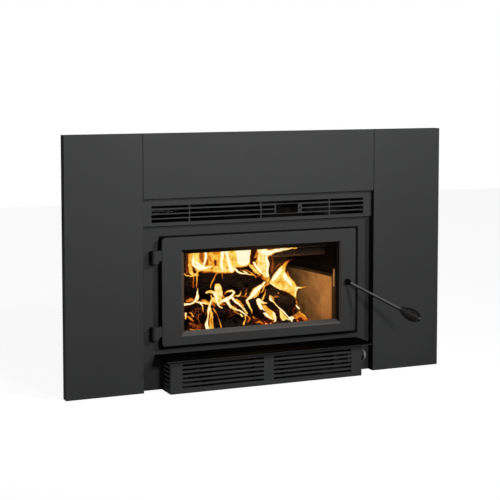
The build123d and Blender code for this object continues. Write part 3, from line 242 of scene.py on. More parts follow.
class Graph:
    """A new material's node tree, with a short call for each kind of node."""

    def __init__(self, name: str) -> None:
        """Start an empty material.

        Args:
            name: The material's name.
        """
        self.material = bpy.data.materials.new(name)
        self.material.use_nodes = True
        self.tree = self.material.node_tree
        self.tree.nodes.clear()
        self.place = self.add("ShaderNodeTexCoord").outputs["Object"]

    def add(self, kind: str, values: dict | None = None, **settings: object) -> bpy.types.Node:
        """Add a node.

        Args:
            kind: The node's type.
            values: A value or a socket for each input, by name or index.
            settings: The node's own properties.

        Returns:
            The new node.
        """
        node = self.tree.nodes.new(kind)
        for name, setting in settings.items():
            setattr(node, name, setting)
        for key, value in (values or {}).items():
            self.feed(node.inputs[key], value)
        return node

    def feed(self, socket: Socket, value: object) -> None:
        """Give a socket a value, or join it to another socket.

        Args:
            socket: The socket that is fed.
            value: A number, colour or vector, or another node's socket.
        """
        if isinstance(value, Socket):
            self.tree.links.new(value, socket)
        elif socket.type == "RGBA" and len(value) == 3:
            socket.default_value = (*value, 1.0)
        else:
            socket.default_value = value

    def vectors(self, operation: str, first: object, second: object) -> bpy.types.Node:
        """Join two vectors by a product, distance or other operation."""
        return self.add("ShaderNodeVectorMath", {0: first, 1: second}, operation=operation)

    def stretched(self, *factors: float) -> Socket:
        """Return the place in the object with each axis times its factor."""
        return self.vectors("MULTIPLY", self.place, factors).outputs[0]

    def off(self, spot: Sequence[float]) -> Socket:
        """Return the distance from a spot, in metres."""
        return self.vectors("DISTANCE", self.place, spot).outputs["Value"]

    def axis(self, index: int) -> Socket:
        """Return the place along one axis, in metres."""
        return self.add("ShaderNodeSeparateXYZ", {0: self.place}).outputs[index]

    def within(self, left: float, right: float, bottom: float, top: float) -> Socket:
        """Work out how far a place lies inside an upright rectangle.

        Args:
            left: The rectangle's least X.
            right: Its greatest X.
            bottom: Its least Z.
            top: Its greatest Z.

        Returns:
            The least distance to its sides in metres, below 0 outside it.
        """
        gaps = []
        for index, low, high in ((0, left, right), (2, bottom, top)):
            off = self.math("ABSOLUTE", self.math("SUBTRACT", self.axis(index), (low + high) / 2))
            gaps.append(self.math("SUBTRACT", (high - low) / 2, off))
        return self.math("MINIMUM", *gaps)

    def uv(self, *factors: float) -> Socket:
        """Return the place in the piece's grid, along and across, each times its factor."""
        flat = self.add("ShaderNodeUVMap", uv_map="UVMap").outputs[0]
        return self.vectors("MULTIPLY", flat, (*factors, 1.0)).outputs[0]

    def mark(self, name: str) -> Socket:
        """Return a value that the mesh carries under this name."""
        return self.add("ShaderNodeAttribute", attribute_name=name).outputs["Fac"]

    def noise(
        self, cells: float, detail: float = 3.0, rough: float = 0.55, at: Socket | None = None
    ) -> Socket:
        """Return noise from 0 to 1.

        Args:
            cells: Cells to the metre.
            detail: Octaves of finer noise.
            rough: The weight of each octave against the one before.
            at: Where it is read, or the place in the object.

        Returns:
            The noise's socket.
        """
        values = {"Vector": at or self.place, "Scale": cells, "Detail": detail, "Roughness": rough}
        return self.add("ShaderNodeTexNoise", values).outputs[0]

    def cells(self, count: float, feature: str = "F1", at: Socket | None = None) -> bpy.types.Node:
        """Return a cell texture of this many cells to the metre."""
        return self.add("ShaderNodeTexVoronoi", {"Vector": at or self.place, "Scale": count}, feature=feature)

    def span(self, value: Socket, low: float, high: float, start: float = 0.0, end: float = 1.0) -> Socket:
        """Return the value carried from low..high to start..end, and held there."""
        values = {0: value, 1: low, 2: high, 3: start, 4: end}
        return self.add("ShaderNodeMapRange", values).outputs[0]

    def math(self, operation: str, first: object, second: object = 0.0) -> Socket:
        """Return two values joined by a sum, product or other operation."""
        return self.add("ShaderNodeMath", {0: first, 1: second}, operation=operation).outputs[0]

    def mix(self, share: object, first: object, second: object) -> Socket:
        """Return a colour that goes from the first to the second as share goes from 0 to 1."""
        values = {0: share, 6: first, 7: second}
        return self.add("ShaderNodeMix", values, data_type="RGBA").outputs[2]

    def ramp(self, value: Socket, *stops: tuple[float, Color]) -> Socket:
        """Read a colour off a row of stops.

        Args:
            value: Where it is read, from 0 to 1.
            stops: Each stop's place and colour.

        Returns:
            The colour's socket.
        """
        node = self.add("ShaderNodeValToRGB", {0: value})
        elements = node.color_ramp.elements
        while len(elements) < len(stops):
            elements.new(1.0)
        for element, (place, color) in zip(elements, stops):
            element.position = place
            element.color = (*color, 1.0)
        return node.outputs[0]

    def bump(self, height: Socket, depth: float, strength: float) -> Socket:
        """Return a normal bent by a height, where 1 stands this many metres over 0."""
        values = {"Height": height, "Distance": depth, "Strength": strength}
        return self.add("ShaderNodeBump", values).outputs[0]

    def cover(self, coat: dict[str, object], share: Socket, color: Color, shine: float) -> dict[str, object]:
        """Lay a colour over a surface's inputs.

        Args:
            coat: The inputs by name.
            share: How far the colour covers them, from 0 to 1.
            color: The colour.
            shine: How strongly the surface mirrors where it is covered.

        Returns:
            The changed inputs.
        """
        coat["Base Color"] = self.mix(share, coat["Base Color"], color)
        coat["Specular IOR Level"] = self.span(share, 0.0, 1.0, coat["Specular IOR Level"], shine)
        return coat

    def surface(self, coat: dict[str, object]) -> Socket:
        """Return the shader of one plain surface with these inputs."""
        return self.add("ShaderNodeBsdfPrincipled", coat).outputs[0]

    def over(self, share: Socket, under: Socket, upper: Socket) -> Socket:
        """Return a shader that goes from under to upper as share goes from 0 to 1."""
        return self.add("ShaderNodeMixShader", {0: share, 1: under, 2: upper}).outputs[0]

    def close(self, shader: Socket) -> bpy.types.Material:
        """Join a shader to the output and return the material."""
        self.add("ShaderNodeOutputMaterial", {"Surface": shader})
        return self.material


# -------- finishes
@dataclass(frozen=True)
class Finish:
    """A finish with one plain surface, whose inputs each kind of finish works out.

    Args:
        name: The material's name.
    """

    name: str

    def coat(self, g: Graph) -> dict[str, object]:
        """Return the surface's inputs by name."""
        raise NotImplementedError

    def shader(self, g: Graph) -> Socket:
        """Return the shader that shows."""
        return g.surface(self.coat(g))

    def material(self) -> bpy.types.Material:
        """Build the material."""
        g = Graph(self.name)
        return g.close(self.shader(g))


@dataclass(frozen=True)
class Paint(Finish):
    """Matt powder paint on steel, with a fine grain, soft clouds and a little dust.

    Args:
        color: The paint's colour.
        roughness: How matt it is.
        grain: The grain's cells to the metre.
        relief: The grain's depth in metres.
        dust: How much dust shows.
        dusty: The dust's colour.
    """

    color: Color
    roughness: float = 0.62
    grain: float = 800.0
    relief: float = 0.0001
    dust: float = 0.05
    dusty: Color = (0.32, 0.30, 0.28)

    def coat(self, g: Graph) -> dict[str, object]:
        """Work out the paint: clouds, then dust, over a bumpy grain.

        Args:
            g: The material's graph.

        Returns:
            The inputs by name.
        """
        soft = g.noise(3.5, 4.0)
        base = g.mix(g.span(soft, 0.3, 0.7), shade(self.color, 0.94), shade(self.color, 1.06))
        marks = g.span(g.noise(42.0, 7.0, 0.72), 0.58, 0.8, 0.0, self.dust)
        return {
            "Base Color": g.mix(marks, base, self.dusty),
            "Roughness": g.span(soft, 0.3, 0.7, self.roughness - 0.05, self.roughness + 0.06),
            "Specular IOR Level": 0.3,
            "Normal": g.bump(g.noise(self.grain, 2.0), self.relief, 0.6),
        }


@dataclass(frozen=True)
class ShelfPaint(Paint):
    """The ash shelf's paint: black painted shade on top and the front edge's upper half, plain below.

    Args:
        front: The shelf's front edge along Y, in metres.
        edge: How far the plain paint goes in from the edge, in metres.
        lip: The Z over which the front edge has the painted shade too.
        burnt_and_shade: The painted shade's colour.
    """

    front: float = -0.067
    edge: float = 0.0010
    lip: float = 0.0932
    burnt_and_shade: Color = (0.0012, 0.0012, 0.0012)

    def coat(self, g: Graph) -> dict[str, object]:
        """Work out the paint and its painted shade.

        Args:
            g: The material's graph.

        Returns:
            The inputs by name.
        """
        coat = super().coat(g)
        # Painted shade: the shelf's top and the upper half of its front edge are black.
        inside = g.span(g.axis(1), self.front + self.edge * 0.5, self.front + self.edge)
        inside = g.math("MAXIMUM", inside, g.span(g.axis(2), self.lip, self.lip + EDGE))
        return g.cover(coat, inside, self.burnt_and_shade, 0.02)


@dataclass(frozen=True)
class PlatePaint(Paint):
    """The front plate's paint, with painted shade in black round the door and along its upper edge.

    Args:
        left: The shaded zone's left edge, in metres.
        right: Its right edge.
        bottom: Its lower edge.
        top: Its upper edge.
        cap: The Z over which the plate's upper edge has the painted shade.
        burnt_and_shade: The painted shade's colour.
    """

    left: float = -0.293
    right: float = 0.3098
    bottom: float = 0.1075
    top: float = 0.4154
    cap: float = 0.4406
    burnt_and_shade: Color = (0.004, 0.004, 0.004)

    def coat(self, g: Graph) -> dict[str, object]:
        """Work out the paint and its painted shade.

        Args:
            g: The material's graph.

        Returns:
            The inputs by name.
        """
        coat = super().coat(g)
        # Painted shade: black in a zone round the door, showing past its edges, and under the grille.
        zone = g.span(g.within(self.left, self.right, self.bottom, self.top), -0.0003, 0.0005)
        inside = g.math("MAXIMUM", zone, g.span(g.axis(2), self.cap, self.cap + EDGE))
        return g.cover(coat, inside, self.burnt_and_shade, 0.08)


@dataclass(frozen=True)
class PanelPaint(Paint):
    """The surround's paint, with painted shade in a dark line along each upright seam.

    Args:
        seam: How far the seams are from the middle along X, in metres.
        width: Half of the line's width.
        foot: The Z under which the top panel's lower edge has the painted shade.
        seam_shade: The painted shade's colour.
    """

    seam: float = 0.3453
    width: float = 0.0009
    foot: float = 0.5188
    seam_shade: Color = (0.006, 0.006, 0.006)

    def coat(self, g: Graph) -> dict[str, object]:
        """Work out the paint and its painted shade.

        Args:
            g: The material's graph.

        Returns:
            The inputs by name.
        """
        coat = super().coat(g)
        # Painted shade: dark lines along the upright seams, and dark on the top panel's lower edge.
        out = g.math("SUBTRACT", g.math("ABSOLUTE", g.axis(0)), self.seam)
        under = g.span(g.axis(2), self.foot, self.foot - EDGE)
        low = g.math("MULTIPLY", under, g.span(out, 0.0, -EDGE))
        line = g.math("MAXIMUM", low, g.span(g.math("ABSOLUTE", out), self.width, self.width * 0.4))
        coat["Base Color"] = g.mix(line, coat["Base Color"], self.seam_shade)
        return coat


@dataclass(frozen=True)
class DoorPaint(Paint):
    """The door's paint: black painted shade on its outer sides, its lower and right rims and half the bevel.

    The window's bevel keeps the paint on its left side and has a painted highlight below.
    It has black painted shade on top and on the inner half of its right side.

    Args:
        left: The window's left edge at the front, in metres.
        right: Its right edge.
        bottom: Its lower edge.
        top: Its upper edge.
        kept: How far the paint goes in from the right edge.
        rim: The right rim's X.
        sill: The lower rim's Z.
        side: The Y behind which the outer sides have the painted shade.
        burnt_and_shade: The painted shade's colour.
        sill_highlight: The painted highlight on the bevel's lower side, at its left.
        plain: The same at its right.
        lip: The painted highlight on its front edge.
    """

    left: float = -0.238
    right: float = 0.244
    bottom: float = 0.1444
    top: float = 0.3782
    kept: float = 0.0046
    rim: float = 0.2888
    sill: float = 0.1208
    side: float = 0.0035
    burnt_and_shade: Color = (0.004, 0.004, 0.004)
    sill_highlight: Color = (0.155, 0.147, 0.138)
    plain: Color = (0.085, 0.083, 0.080)
    lip: Color = (0.15, 0.148, 0.145)

    def coat(self, g: Graph) -> dict[str, object]:
        """Work out the paint, its painted shade and its painted highlight.

        A place of the bevel is on the side that it is nearest to, which within() measures.

        Args:
            g: The material's graph.

        Returns:
            The inputs by name.
        """
        coat = super().coat(g)
        window = g.within(self.left, self.right, self.bottom, self.top)
        inside = g.span(window, -0.0004, 0.0005)
        gaps = (
            g.math("SUBTRACT", g.axis(0), self.left), g.math("SUBTRACT", self.right, g.axis(0)),
            g.math("SUBTRACT", g.axis(2), self.bottom),
        )
        more = (g.math("SUBTRACT", gap, window) for gap in gaps)
        on_left, on_right, on_sill = (g.span(gap, 0.0005, 0.0001) for gap in more)
        keep = g.math("MULTIPLY", on_right, g.span(gaps[1], self.kept + 0.0003, self.kept - 0.0003))
        painted = g.math("MAXIMUM", on_left, keep)
        # Painted highlight: the bevel's lower side is bright and warm, more at its left and at its front
        # edge.
        tint = g.mix(g.span(g.axis(0), self.left, self.right), self.sill_highlight, self.plain)
        sill = g.mix(g.span(gaps[2], 0.0012, 0.0062, 0.9, 0.0), tint, self.lip)
        # Painted shade: black on the bevel's top and on the inner half of its right side.
        bevel = g.mix(on_sill, g.mix(painted, self.burnt_and_shade, coat["Base Color"]), sill)
        # Painted shade: black on the door's right and lower rims, and on its outer sides behind the front
        # rounding.
        face = g.within(-1.0, self.rim, self.sill, 1.0)
        behind = g.span(g.axis(1), self.side, self.side + 0.0008)
        dark = g.math("MAXIMUM", g.span(face, 0.0003, -0.0003), behind)
        coat["Base Color"] = g.mix(inside, g.mix(dark, coat["Base Color"], self.burnt_and_shade), bevel)
        # Where the painted shade lies, the paint mirrors less.
        shaded_bevel = g.math("SUBTRACT", 1.0, g.math("MAXIMUM", painted, on_sill))
        shaded_inside = g.math("MULTIPLY", inside, shaded_bevel)
        shaded_outside = g.math("MULTIPLY", dark, g.math("SUBTRACT", 1.0, inside))
        coat["Specular IOR Level"] = g.span(g.math("ADD", shaded_inside, shaded_outside), 0.0, 1.0, 0.3, 0.08)
        return coat


@dataclass(frozen=True)
class Galvanised(Finish):
    """Zinc-coated sheet with its spangle.

    Args:
        color: The mean colour.
        spangle: Crystals to the metre.
        stained: The colour of the stains.
    """

    color: Color
    spangle: float = 90.0
    stained: Color = (0.30, 0.29, 0.27)

    def coat(self, g: Graph) -> dict[str, object]:
        """Work out the zinc: crystals from a bent cell pattern, with stains.

        Args:
            g: The material's graph.

        Returns:
            The inputs by name.
        """
        bent = g.add("ShaderNodeMixRGB", {0: 0.02, 1: g.place, 2: g.noise(30.0)}).outputs[0]
        cell = g.cells(self.spangle, at=bent).outputs["Color"]
        crystal = g.add("ShaderNodeSeparateColor", {0: cell}).outputs[0]
        stain = g.span(g.noise(9.0, 6.0, 0.65), 0.5, 0.75, 0.0, 0.35)
        clean = g.mix(crystal, shade(self.color, 0.82), shade(self.color, 1.14))
        return {
            "Base Color": g.mix(stain, clean, self.stained),
            "Metallic": 0.85,
            "Roughness": g.span(crystal, 0.0, 1.0, 0.34, 0.52),
            "Normal": g.bump(g.noise(500.0, 3.0), 0.00005, 0.5),
        }


@dataclass(frozen=True)
class Scaled(Finish):
    """Hot-worked steel with sooty scale and heat colours.

    Args:
        color: The bare colour.
        tint: The colour of the heat patches.
        patches: Patches to the metre.
        relief: The scale's depth in metres.
        shine: How strongly it mirrors.
    """

    color: Color
    tint: Color
    patches: float = 14.0
    relief: float = 0.0002
    shine: float = 0.3

    def coat(self, g: Graph) -> dict[str, object]:
        """Work out the steel: heat patches under a crust.

        Args:
            g: The material's graph.

        Returns:
            The inputs by name.
        """
        patch = g.noise(self.patches, 6.0, 0.62)
        crust = g.noise(260.0, 5.0, 0.6)
        color = g.mix(g.span(patch, 0.42, 0.66), self.color, self.tint)
        return {
            "Base Color": g.mix(g.span(crust, 0.55, 0.8, 0.0, 0.5), color, shade(self.color, 0.4)),
            "Metallic": self.shine,
            "Roughness": g.span(patch, 0.3, 0.7, 0.62, 0.88),
            "Specular IOR Level": self.shine,
            "Normal": g.bump(crust, self.relief, 0.8),
        }


@dataclass(frozen=True)
class Metal(Finish):
    """Turned, plated or blacked metal with fine tool marks.

    Args:
        color: The colour.
        metallic: How far it is bare metal.
        roughness: How matt it is.
        stretch: How the tool marks run, as cells to the metre along each axis.
        wear: The colour where it is worn or dull.
        shine: How strongly it mirrors where it isn't bare metal.
    """

    color: Color
    metallic: float
    roughness: float
    stretch: Place = (60.0, 900.0, 900.0)
    wear: Color = (0.2, 0.19, 0.18)
    shine: float = 0.5

    def coat(self, g: Graph) -> dict[str, object]:
        """Work out the metal: tool marks, and patches of wear.

        Args:
            g: The material's graph.

        Returns:
            The inputs by name.
        """
        line = g.noise(1.0, 3.0, at=g.stretched(*self.stretch))
        worn = g.span(g.noise(120.0, 6.0, 0.7), 0.56, 0.78, 0.0, 0.45)
        base = g.mix(line, shade(self.color, 0.85), shade(self.color, 1.12))
        return {
            "Base Color": g.mix(worn, base, self.wear),
            "Metallic": self.metallic,
            "Roughness": g.span(line, 0.3, 0.7, self.roughness - 0.06, self.roughness + 0.1),
            "Specular IOR Level": self.shine,
            "Normal": g.bump(line, 0.00004, 0.6),
        }


@dataclass(frozen=True)
class PaintedShadeMetal(Metal):
    """Metal that is black round one place, its hub, with black painted shade on its underside.

    Args:
        hub: The hub's middle, in metres.
        reach: The hub's radius.
        soot_and_shade: The colour round the hub and of the painted shade.
    """

    hub: Place = (0.262, 0.0, 0.262)
    reach: float = 0.0125
    soot_and_shade: Color = (0.002, 0.002, 0.002)

    def coat(self, g: Graph) -> dict[str, object]:
        """Work out the metal, the black round its hub and the painted shade on its underside.

        Args:
            g: The material's graph.

        Returns:
            The inputs by name.
        """
        coat = super().coat(g)
        # Painted shade: black where the surface faces down, for a rod lit from above.
        normal = g.add("ShaderNodeNewGeometry").outputs["Normal"]
        upward = g.add("ShaderNodeSeparateXYZ", {0: normal}).outputs[2]
        away = g.span(g.off(self.hub), self.reach, self.reach + 0.001)
        bare = g.math("MULTIPLY", away, g.span(upward, -0.1, 0.35))
        return g.cover(coat, g.math("SUBTRACT", 1.0, bare), self.soot_and_shade, 0.05)


@dataclass(frozen=True)
class Plastic(Finish):
    """Moulded plastic or rubber with a fine texture and handled patches.

    Args:
        color: The colour.
        roughness: How matt it is.
        relief: The texture's depth in metres.
    """

    color: Color
    roughness: float = 0.5
    relief: float = 0.00006

    def coat(self, g: Graph) -> dict[str, object]:
        """Work out the plastic: soft patches over a fine texture.

        Args:
            g: The material's graph.

        Returns:
            The inputs by name.
        """
        soft = g.noise(70.0, 4.0)
        return {
            "Base Color": g.mix(g.span(soft, 0.35, 0.7), shade(self.color, 0.9), shade(self.color, 1.2)),
            "Roughness": g.span(soft, 0.3, 0.7, self.roughness + 0.08, self.roughness - 0.06),
            "Specular IOR Level": 0.4,
            "Normal": g.bump(g.noise(1800.0, 2.0), self.relief, 0.5),
        }


@dataclass(frozen=True)
class Knob(Plastic):
    """The knob's plastic, with a black skirt.

    Args:
        skirt: The X where the skirt ends, in metres.
        black: The skirt's colour.
    """

    skirt: float = 0.2994
    black: Color = (0.003, 0.003, 0.003)

    def coat(self, g: Graph) -> dict[str, object]:
        """Work out the plastic and its skirt.

        Args:
            g: The material's graph.

        Returns:
            The inputs by name.
        """
        coat = super().coat(g)
        beyond = g.span(g.axis(0), self.skirt, self.skirt + EDGE)
        coat["Base Color"] = g.mix(beyond, self.black, coat["Base Color"])
        coat["Specular IOR Level"] = 0.3
        return coat


@dataclass(frozen=True)
class Firebrick(Finish):
    """Pressed firebrick: sandy speckle, pores, and soot with painted shade that thickens towards the back.

    Args:
        color: The clean brick.
        soot_and_shade: The brick under soot and painted shade.
        front: Where the soot and painted shade begin along Y, in metres.
        back: Where they are thick.
    """

    color: Color
    soot_and_shade: Color = (0.035, 0.024, 0.018)
    front: float = 0.07
    back: float = 0.32

    def coat(self, g: Graph) -> dict[str, object]:
        """Work out the brick: sand and pores, with soot and painted shade by depth, and soot in patches.

        Args:
            g: The material's graph.

        Returns:
            The inputs by name.
        """
        sand = g.noise(420.0, 4.0, 0.7)
        pore = g.span(g.cells(260.0).outputs["Distance"], 0.1, 0.3)
        patch = g.noise(16.0, 6.0, 0.65)
        clean = g.mix(sand, shade(self.color, 0.75), shade(self.color, 1.2))
        # Painted shade, with soot: the brick darkens with depth, away from the glass.
        deep = g.span(g.axis(1), self.front, self.back)
        smoke = g.math("ADD", deep, g.span(patch, 0.45, 0.75, 0.0, 0.45))
        color = g.mix(g.span(smoke, 0.1, 0.95, 0.0, 0.92), clean, self.soot_and_shade)
        relief = g.math("ADD", g.math("MULTIPLY", sand, 0.4), pore)
        return {
            "Base Color": g.mix(pore, shade(self.soot_and_shade, 0.8), color),
            "Roughness": g.span(patch, 0.3, 0.7, 0.86, 0.96),
            "Specular IOR Level": 0.15,
            "Normal": g.bump(relief, 0.0006, 0.7),
        }


@dataclass(frozen=True)
class Fibre(Finish):
    """Ceramic fibre, felted or woven, with a few browned places.

    Args:
        color: The clean fibre.
        brown: The browned fibre.
        stretch: How the fibres run, as cells to the metre along each axis.
        relief: The fibres' depth in metres.
    """

    color: Color
    brown: Color
    stretch: Place = (300.0, 900.0, 300.0)
    relief: float = 0.0004

    def coat(self, g: Graph) -> dict[str, object]:
        """Work out the fibre: strands, and browned places.

        Args:
            g: The material's graph.

        Returns:
            The inputs by name.
        """
        strand = g.noise(1.0, 5.0, 0.65, at=g.stretched(*self.stretch))
        burnt_and_shade = g.span(g.noise(14.0, 5.0, 0.6), 0.5, 0.78, 0.0, 0.8)
        color = g.mix(strand, shade(self.color, 0.78), shade(self.color, 1.1))
        return {
            "Base Color": g.mix(burnt_and_shade, color, self.brown),
            "Roughness": g.span(strand, 0.2, 0.8, 0.86, 0.98),
            "Specular IOR Level": 0.1,
            "Normal": g.bump(strand, self.relief, 0.8),
        }


@dataclass(frozen=True)
class Woven(Finish):
    """A woven cord or tape: yarns cross in two slants over the piece's own grid.

    Args:
        color: The yarn's colour.
        along: Yarns along the piece.
        across: Yarns across it.
        relief: The weave's depth in metres.
    """

    color: Color
    along: float
    across: float
    relief: float = 0.0003

    def coat(self, g: Graph) -> dict[str, object]:
        """Work out the weave: the product of the sines of two slanting counts of yarns.

        Args:
            g: The material's graph.

        Returns:
            The inputs by name.
        """
        split = g.add("ShaderNodeSeparateXYZ", {0: g.uv(self.along * math.pi, self.across * math.pi)})
        rise = g.math("SINE", g.math("ADD", split.outputs[0], split.outputs[1]))
        fall = g.math("SINE", g.math("SUBTRACT", split.outputs[0], split.outputs[1]))
        yarn = g.math("ABSOLUTE", g.math("MULTIPLY", rise, fall))
        fuzz = g.noise(700.0, 4.0, 0.7)
        color = g.mix(yarn, shade(self.color, 0.5), shade(self.color, 1.2))
        return {
            "Base Color": g.mix(g.span(fuzz, 0.4, 0.75, 0.0, 0.4), color, shade(self.color, 0.7)),
            "Roughness": g.span(fuzz, 0.3, 0.7, 0.8, 0.95),
            "Specular IOR Level": 0.15,
            "Normal": g.bump(g.math("ADD", yarn, g.math("MULTIPLY", fuzz, 0.3)), self.relief, 0.8),
        }


@dataclass(frozen=True)
class Glass(Finish):
    """Ceramic glass: nearly clear, with smoke that has settled near its edges.

    Args:
        smoke: The smoke's colour.
        left: The window's left edge behind the bevel, in metres.
        right: Its right edge.
        bottom: Its lower edge.
        top: Its upper edge.
        clear: How much of the pane hides what is behind it where it is clean.
        tint: What is left of the light that goes through.
    """

    smoke: Color = (0.018, 0.014, 0.011)
    left: float = -0.226
    right: float = 0.232
    bottom: float = 0.1564
    top: float = 0.3662
    clear: float = 0.03
    tint: Color = (0.97, 0.965, 0.955)

    def shader(self, g: Graph) -> Socket:
        """Lay the smoked surface over the clear pane.

        Args:
            g: The material's graph.

        Returns:
            The shader that shows.
        """
        haze = g.noise(26.0, 6.0, 0.65)
        rim = g.within(self.left, self.right, self.bottom, self.top)
        near = g.math("ADD", rim, g.span(haze, 0.3, 0.7, -0.003, 0.003))
        alpha = g.span(near, -0.004, 0.003, self.clear + 0.2, self.clear)
        solid = g.surface({
            "Base Color": g.mix(haze, self.smoke, shade(self.smoke, 1.6)),
            "Roughness": g.span(haze, 0.3, 0.7, 0.04, 0.1),
            "Specular IOR Level": 0.35,
        })
        return g.over(alpha, g.add("ShaderNodeBsdfTransparent", {0: self.tint}).outputs[0], solid)


@dataclass(frozen=True)
class Bark(Finish):
    """Burning wood: charred bark with ash, bare wood at a sawn end and glowing cracks low down.

    Args:
        char: The charred bark.
        ash: The ash on its ridges.
        glow: The cracks' light.
        strength: How strongly they shine.
        low: The height under which cracks glow most, in metres.
        high: The height over which none do.
    """

    char: Color
    ash: Color = (0.015, 0.0095, 0.011)
    glow: Color = (1.0, 0.16, 0.02)
    strength: float = 0.8
    low: float = 0.155
    high: float = 0.22

    def coat(self, g: Graph) -> dict[str, object]:
        """Work out the bark: grain, checks, ash, and light in the low checks.

        Args:
            g: The material's graph.

        Returns:
            The inputs by name.
        """
        grain = g.noise(1.0, 5.0, 0.6, at=g.uv(9.0, 46.0))
        check = g.cells(95.0, "DISTANCE_TO_EDGE").outputs["Distance"]
        patch = g.noise(28.0, 5.0, 0.6)
        skin = g.mix(g.span(grain, 0.45, 0.7), self.char, self.ash)
        skin = g.mix(g.span(patch, 0.5, 0.7, 0.0, 0.7), skin, shade(self.char, 0.35))
        end = g.mix(grain, shade(self.char, 0.22), shade(self.char, 0.5))
        crack = g.span(check, 0.0, 0.07, 1.0, 0.0)
        warm = g.span(g.axis(2), self.low, self.high, self.strength, 0.0)
        hot = g.math("MULTIPLY", g.math("MULTIPLY", crack, warm), g.span(patch, 0.52, 0.66))
        relief = g.math("ADD", grain, g.span(check, 0.0, 0.15, 0.0, 0.5))
        return {
            "Base Color": g.mix(g.mark("cut"), skin, end),
            "Roughness": g.span(patch, 0.3, 0.7, 0.85, 0.97),
            "Specular IOR Level": 0.06,
            "Emission Color": self.glow,
            "Emission Strength": hot,
            "Normal": g.bump(relief, 0.0014, 0.8),
        }


@dataclass(frozen=True)
class Coal(Finish):
    """Charcoal under ash, with an orange glow in its hollows.

    Args:
        coal: The cold coal.
        ash: The ash.
        glow: How strongly the hollows shine.
        alive: The places that still glow: X, Y, Z and reach, in metres.
    """

    coal: Color
    ash: Color = (0.035, 0.022, 0.018)
    glow: float = 2.2
    alive: tuple[tuple[float, float, float, float], ...] = (
        (-0.168, 0.09, 0.16, 0.03), (0.052, 0.09, 0.16, 0.035), (0.175, 0.09, 0.16, 0.05),
    )

    def coat(self, g: Graph) -> dict[str, object]:
        """Work out the coal: ash, and light in the cracks near the live places.

        Args:
            g: The material's graph.

        Returns:
            The inputs by name.
        """
        heap = g.noise(60.0, 5.0, 0.65)
        fine = g.noise(320.0, 4.0, 0.7)
        crack = g.span(g.cells(70.0, "DISTANCE_TO_EDGE").outputs["Distance"], 0.0, 0.16, 1.0, 0.0)
        hot = g.math("MULTIPLY", g.math("ADD", crack, g.span(fine, 0.5, 0.8)), g.span(heap, 0.46, 0.66))
        near = 0.0
        for *spot, reach in self.alive:
            near = g.math("MAXIMUM", near, g.span(g.off(spot), reach * 1.3, reach * 0.6))
        hot = g.math("MULTIPLY", hot, near)
        return {
            "Base Color": g.mix(g.span(fine, 0.5, 0.72), self.coal, self.ash),
            "Roughness": g.span(fine, 0.3, 0.7, 0.84, 0.97),
            "Specular IOR Level": 0.15,
            "Emission Color": g.ramp(
                hot, (0.0, (0.25, 0.01, 0.0)), (0.5, (0.9, 0.1, 0.01)), (1.0, (1.0, 0.42, 0.1))
            ),
            "Emission Strength": g.math("MULTIPLY", hot, self.glow),
            "Normal": g.bump(fine, 0.0012, 0.8),
        }


@dataclass(frozen=True)
class Flame(Finish):
    """Fire on a sheet: dark orange where it is thin, pale where it is hot, with upright streaks.

    Args:
        streaks: Streaks across the sheet.
        stir: How far streaks and curls change the heat.
        strength: The light of the palest part.
        tones: The fire's colour at rising heats.
    """

    streaks: float = 34.0
    stir: float = 0.07
    strength: float = 1.2
    tones: tuple[tuple[float, Color], ...] = (
        (0.0, (0.01, 0.003, 0.001)), (0.2, (0.14, 0.026, 0.006)), (0.36, (0.56, 0.12, 0.008)),
        (0.52, (0.84, 0.38, 0.03)), (0.70, (0.95, 0.68, 0.12)), (0.90, (1.0, 0.94, 0.66)),
    )

    def shader(self, g: Graph) -> Socket:
        """Mix light where there is fire with nothing elsewhere.

        Args:
            g: The material's graph.

        Returns:
            The shader that shows.
        """
        streak = g.span(g.noise(1.0, 4.0, 0.6, at=g.uv(5.0, self.streaks)), 0.3, 0.7, -self.stir, self.stir)
        curl = g.span(g.noise(60.0, 2.0, 0.5), 0.3, 0.7, -self.stir, self.stir)
        stir = g.math("ADD", streak, curl)
        warmth = g.mark("warmth")
        heat = g.math("ADD", warmth, g.math("MULTIPLY", stir, g.span(warmth, 0.1, 0.6, 0.3, 1.0)))
        cover = g.math("MULTIPLY", g.mark("cover"), g.span(stir, -0.14, 0.14, 0.86, 1.1))
        light = g.add("ShaderNodeEmission", {"Color": g.ramp(heat, *self.tones), "Strength": self.strength})
        through = g.add("ShaderNodeBsdfTransparent")
        return g.over(g.span(cover, 0.0, 1.0), through.outputs[0], light.outputs[0])


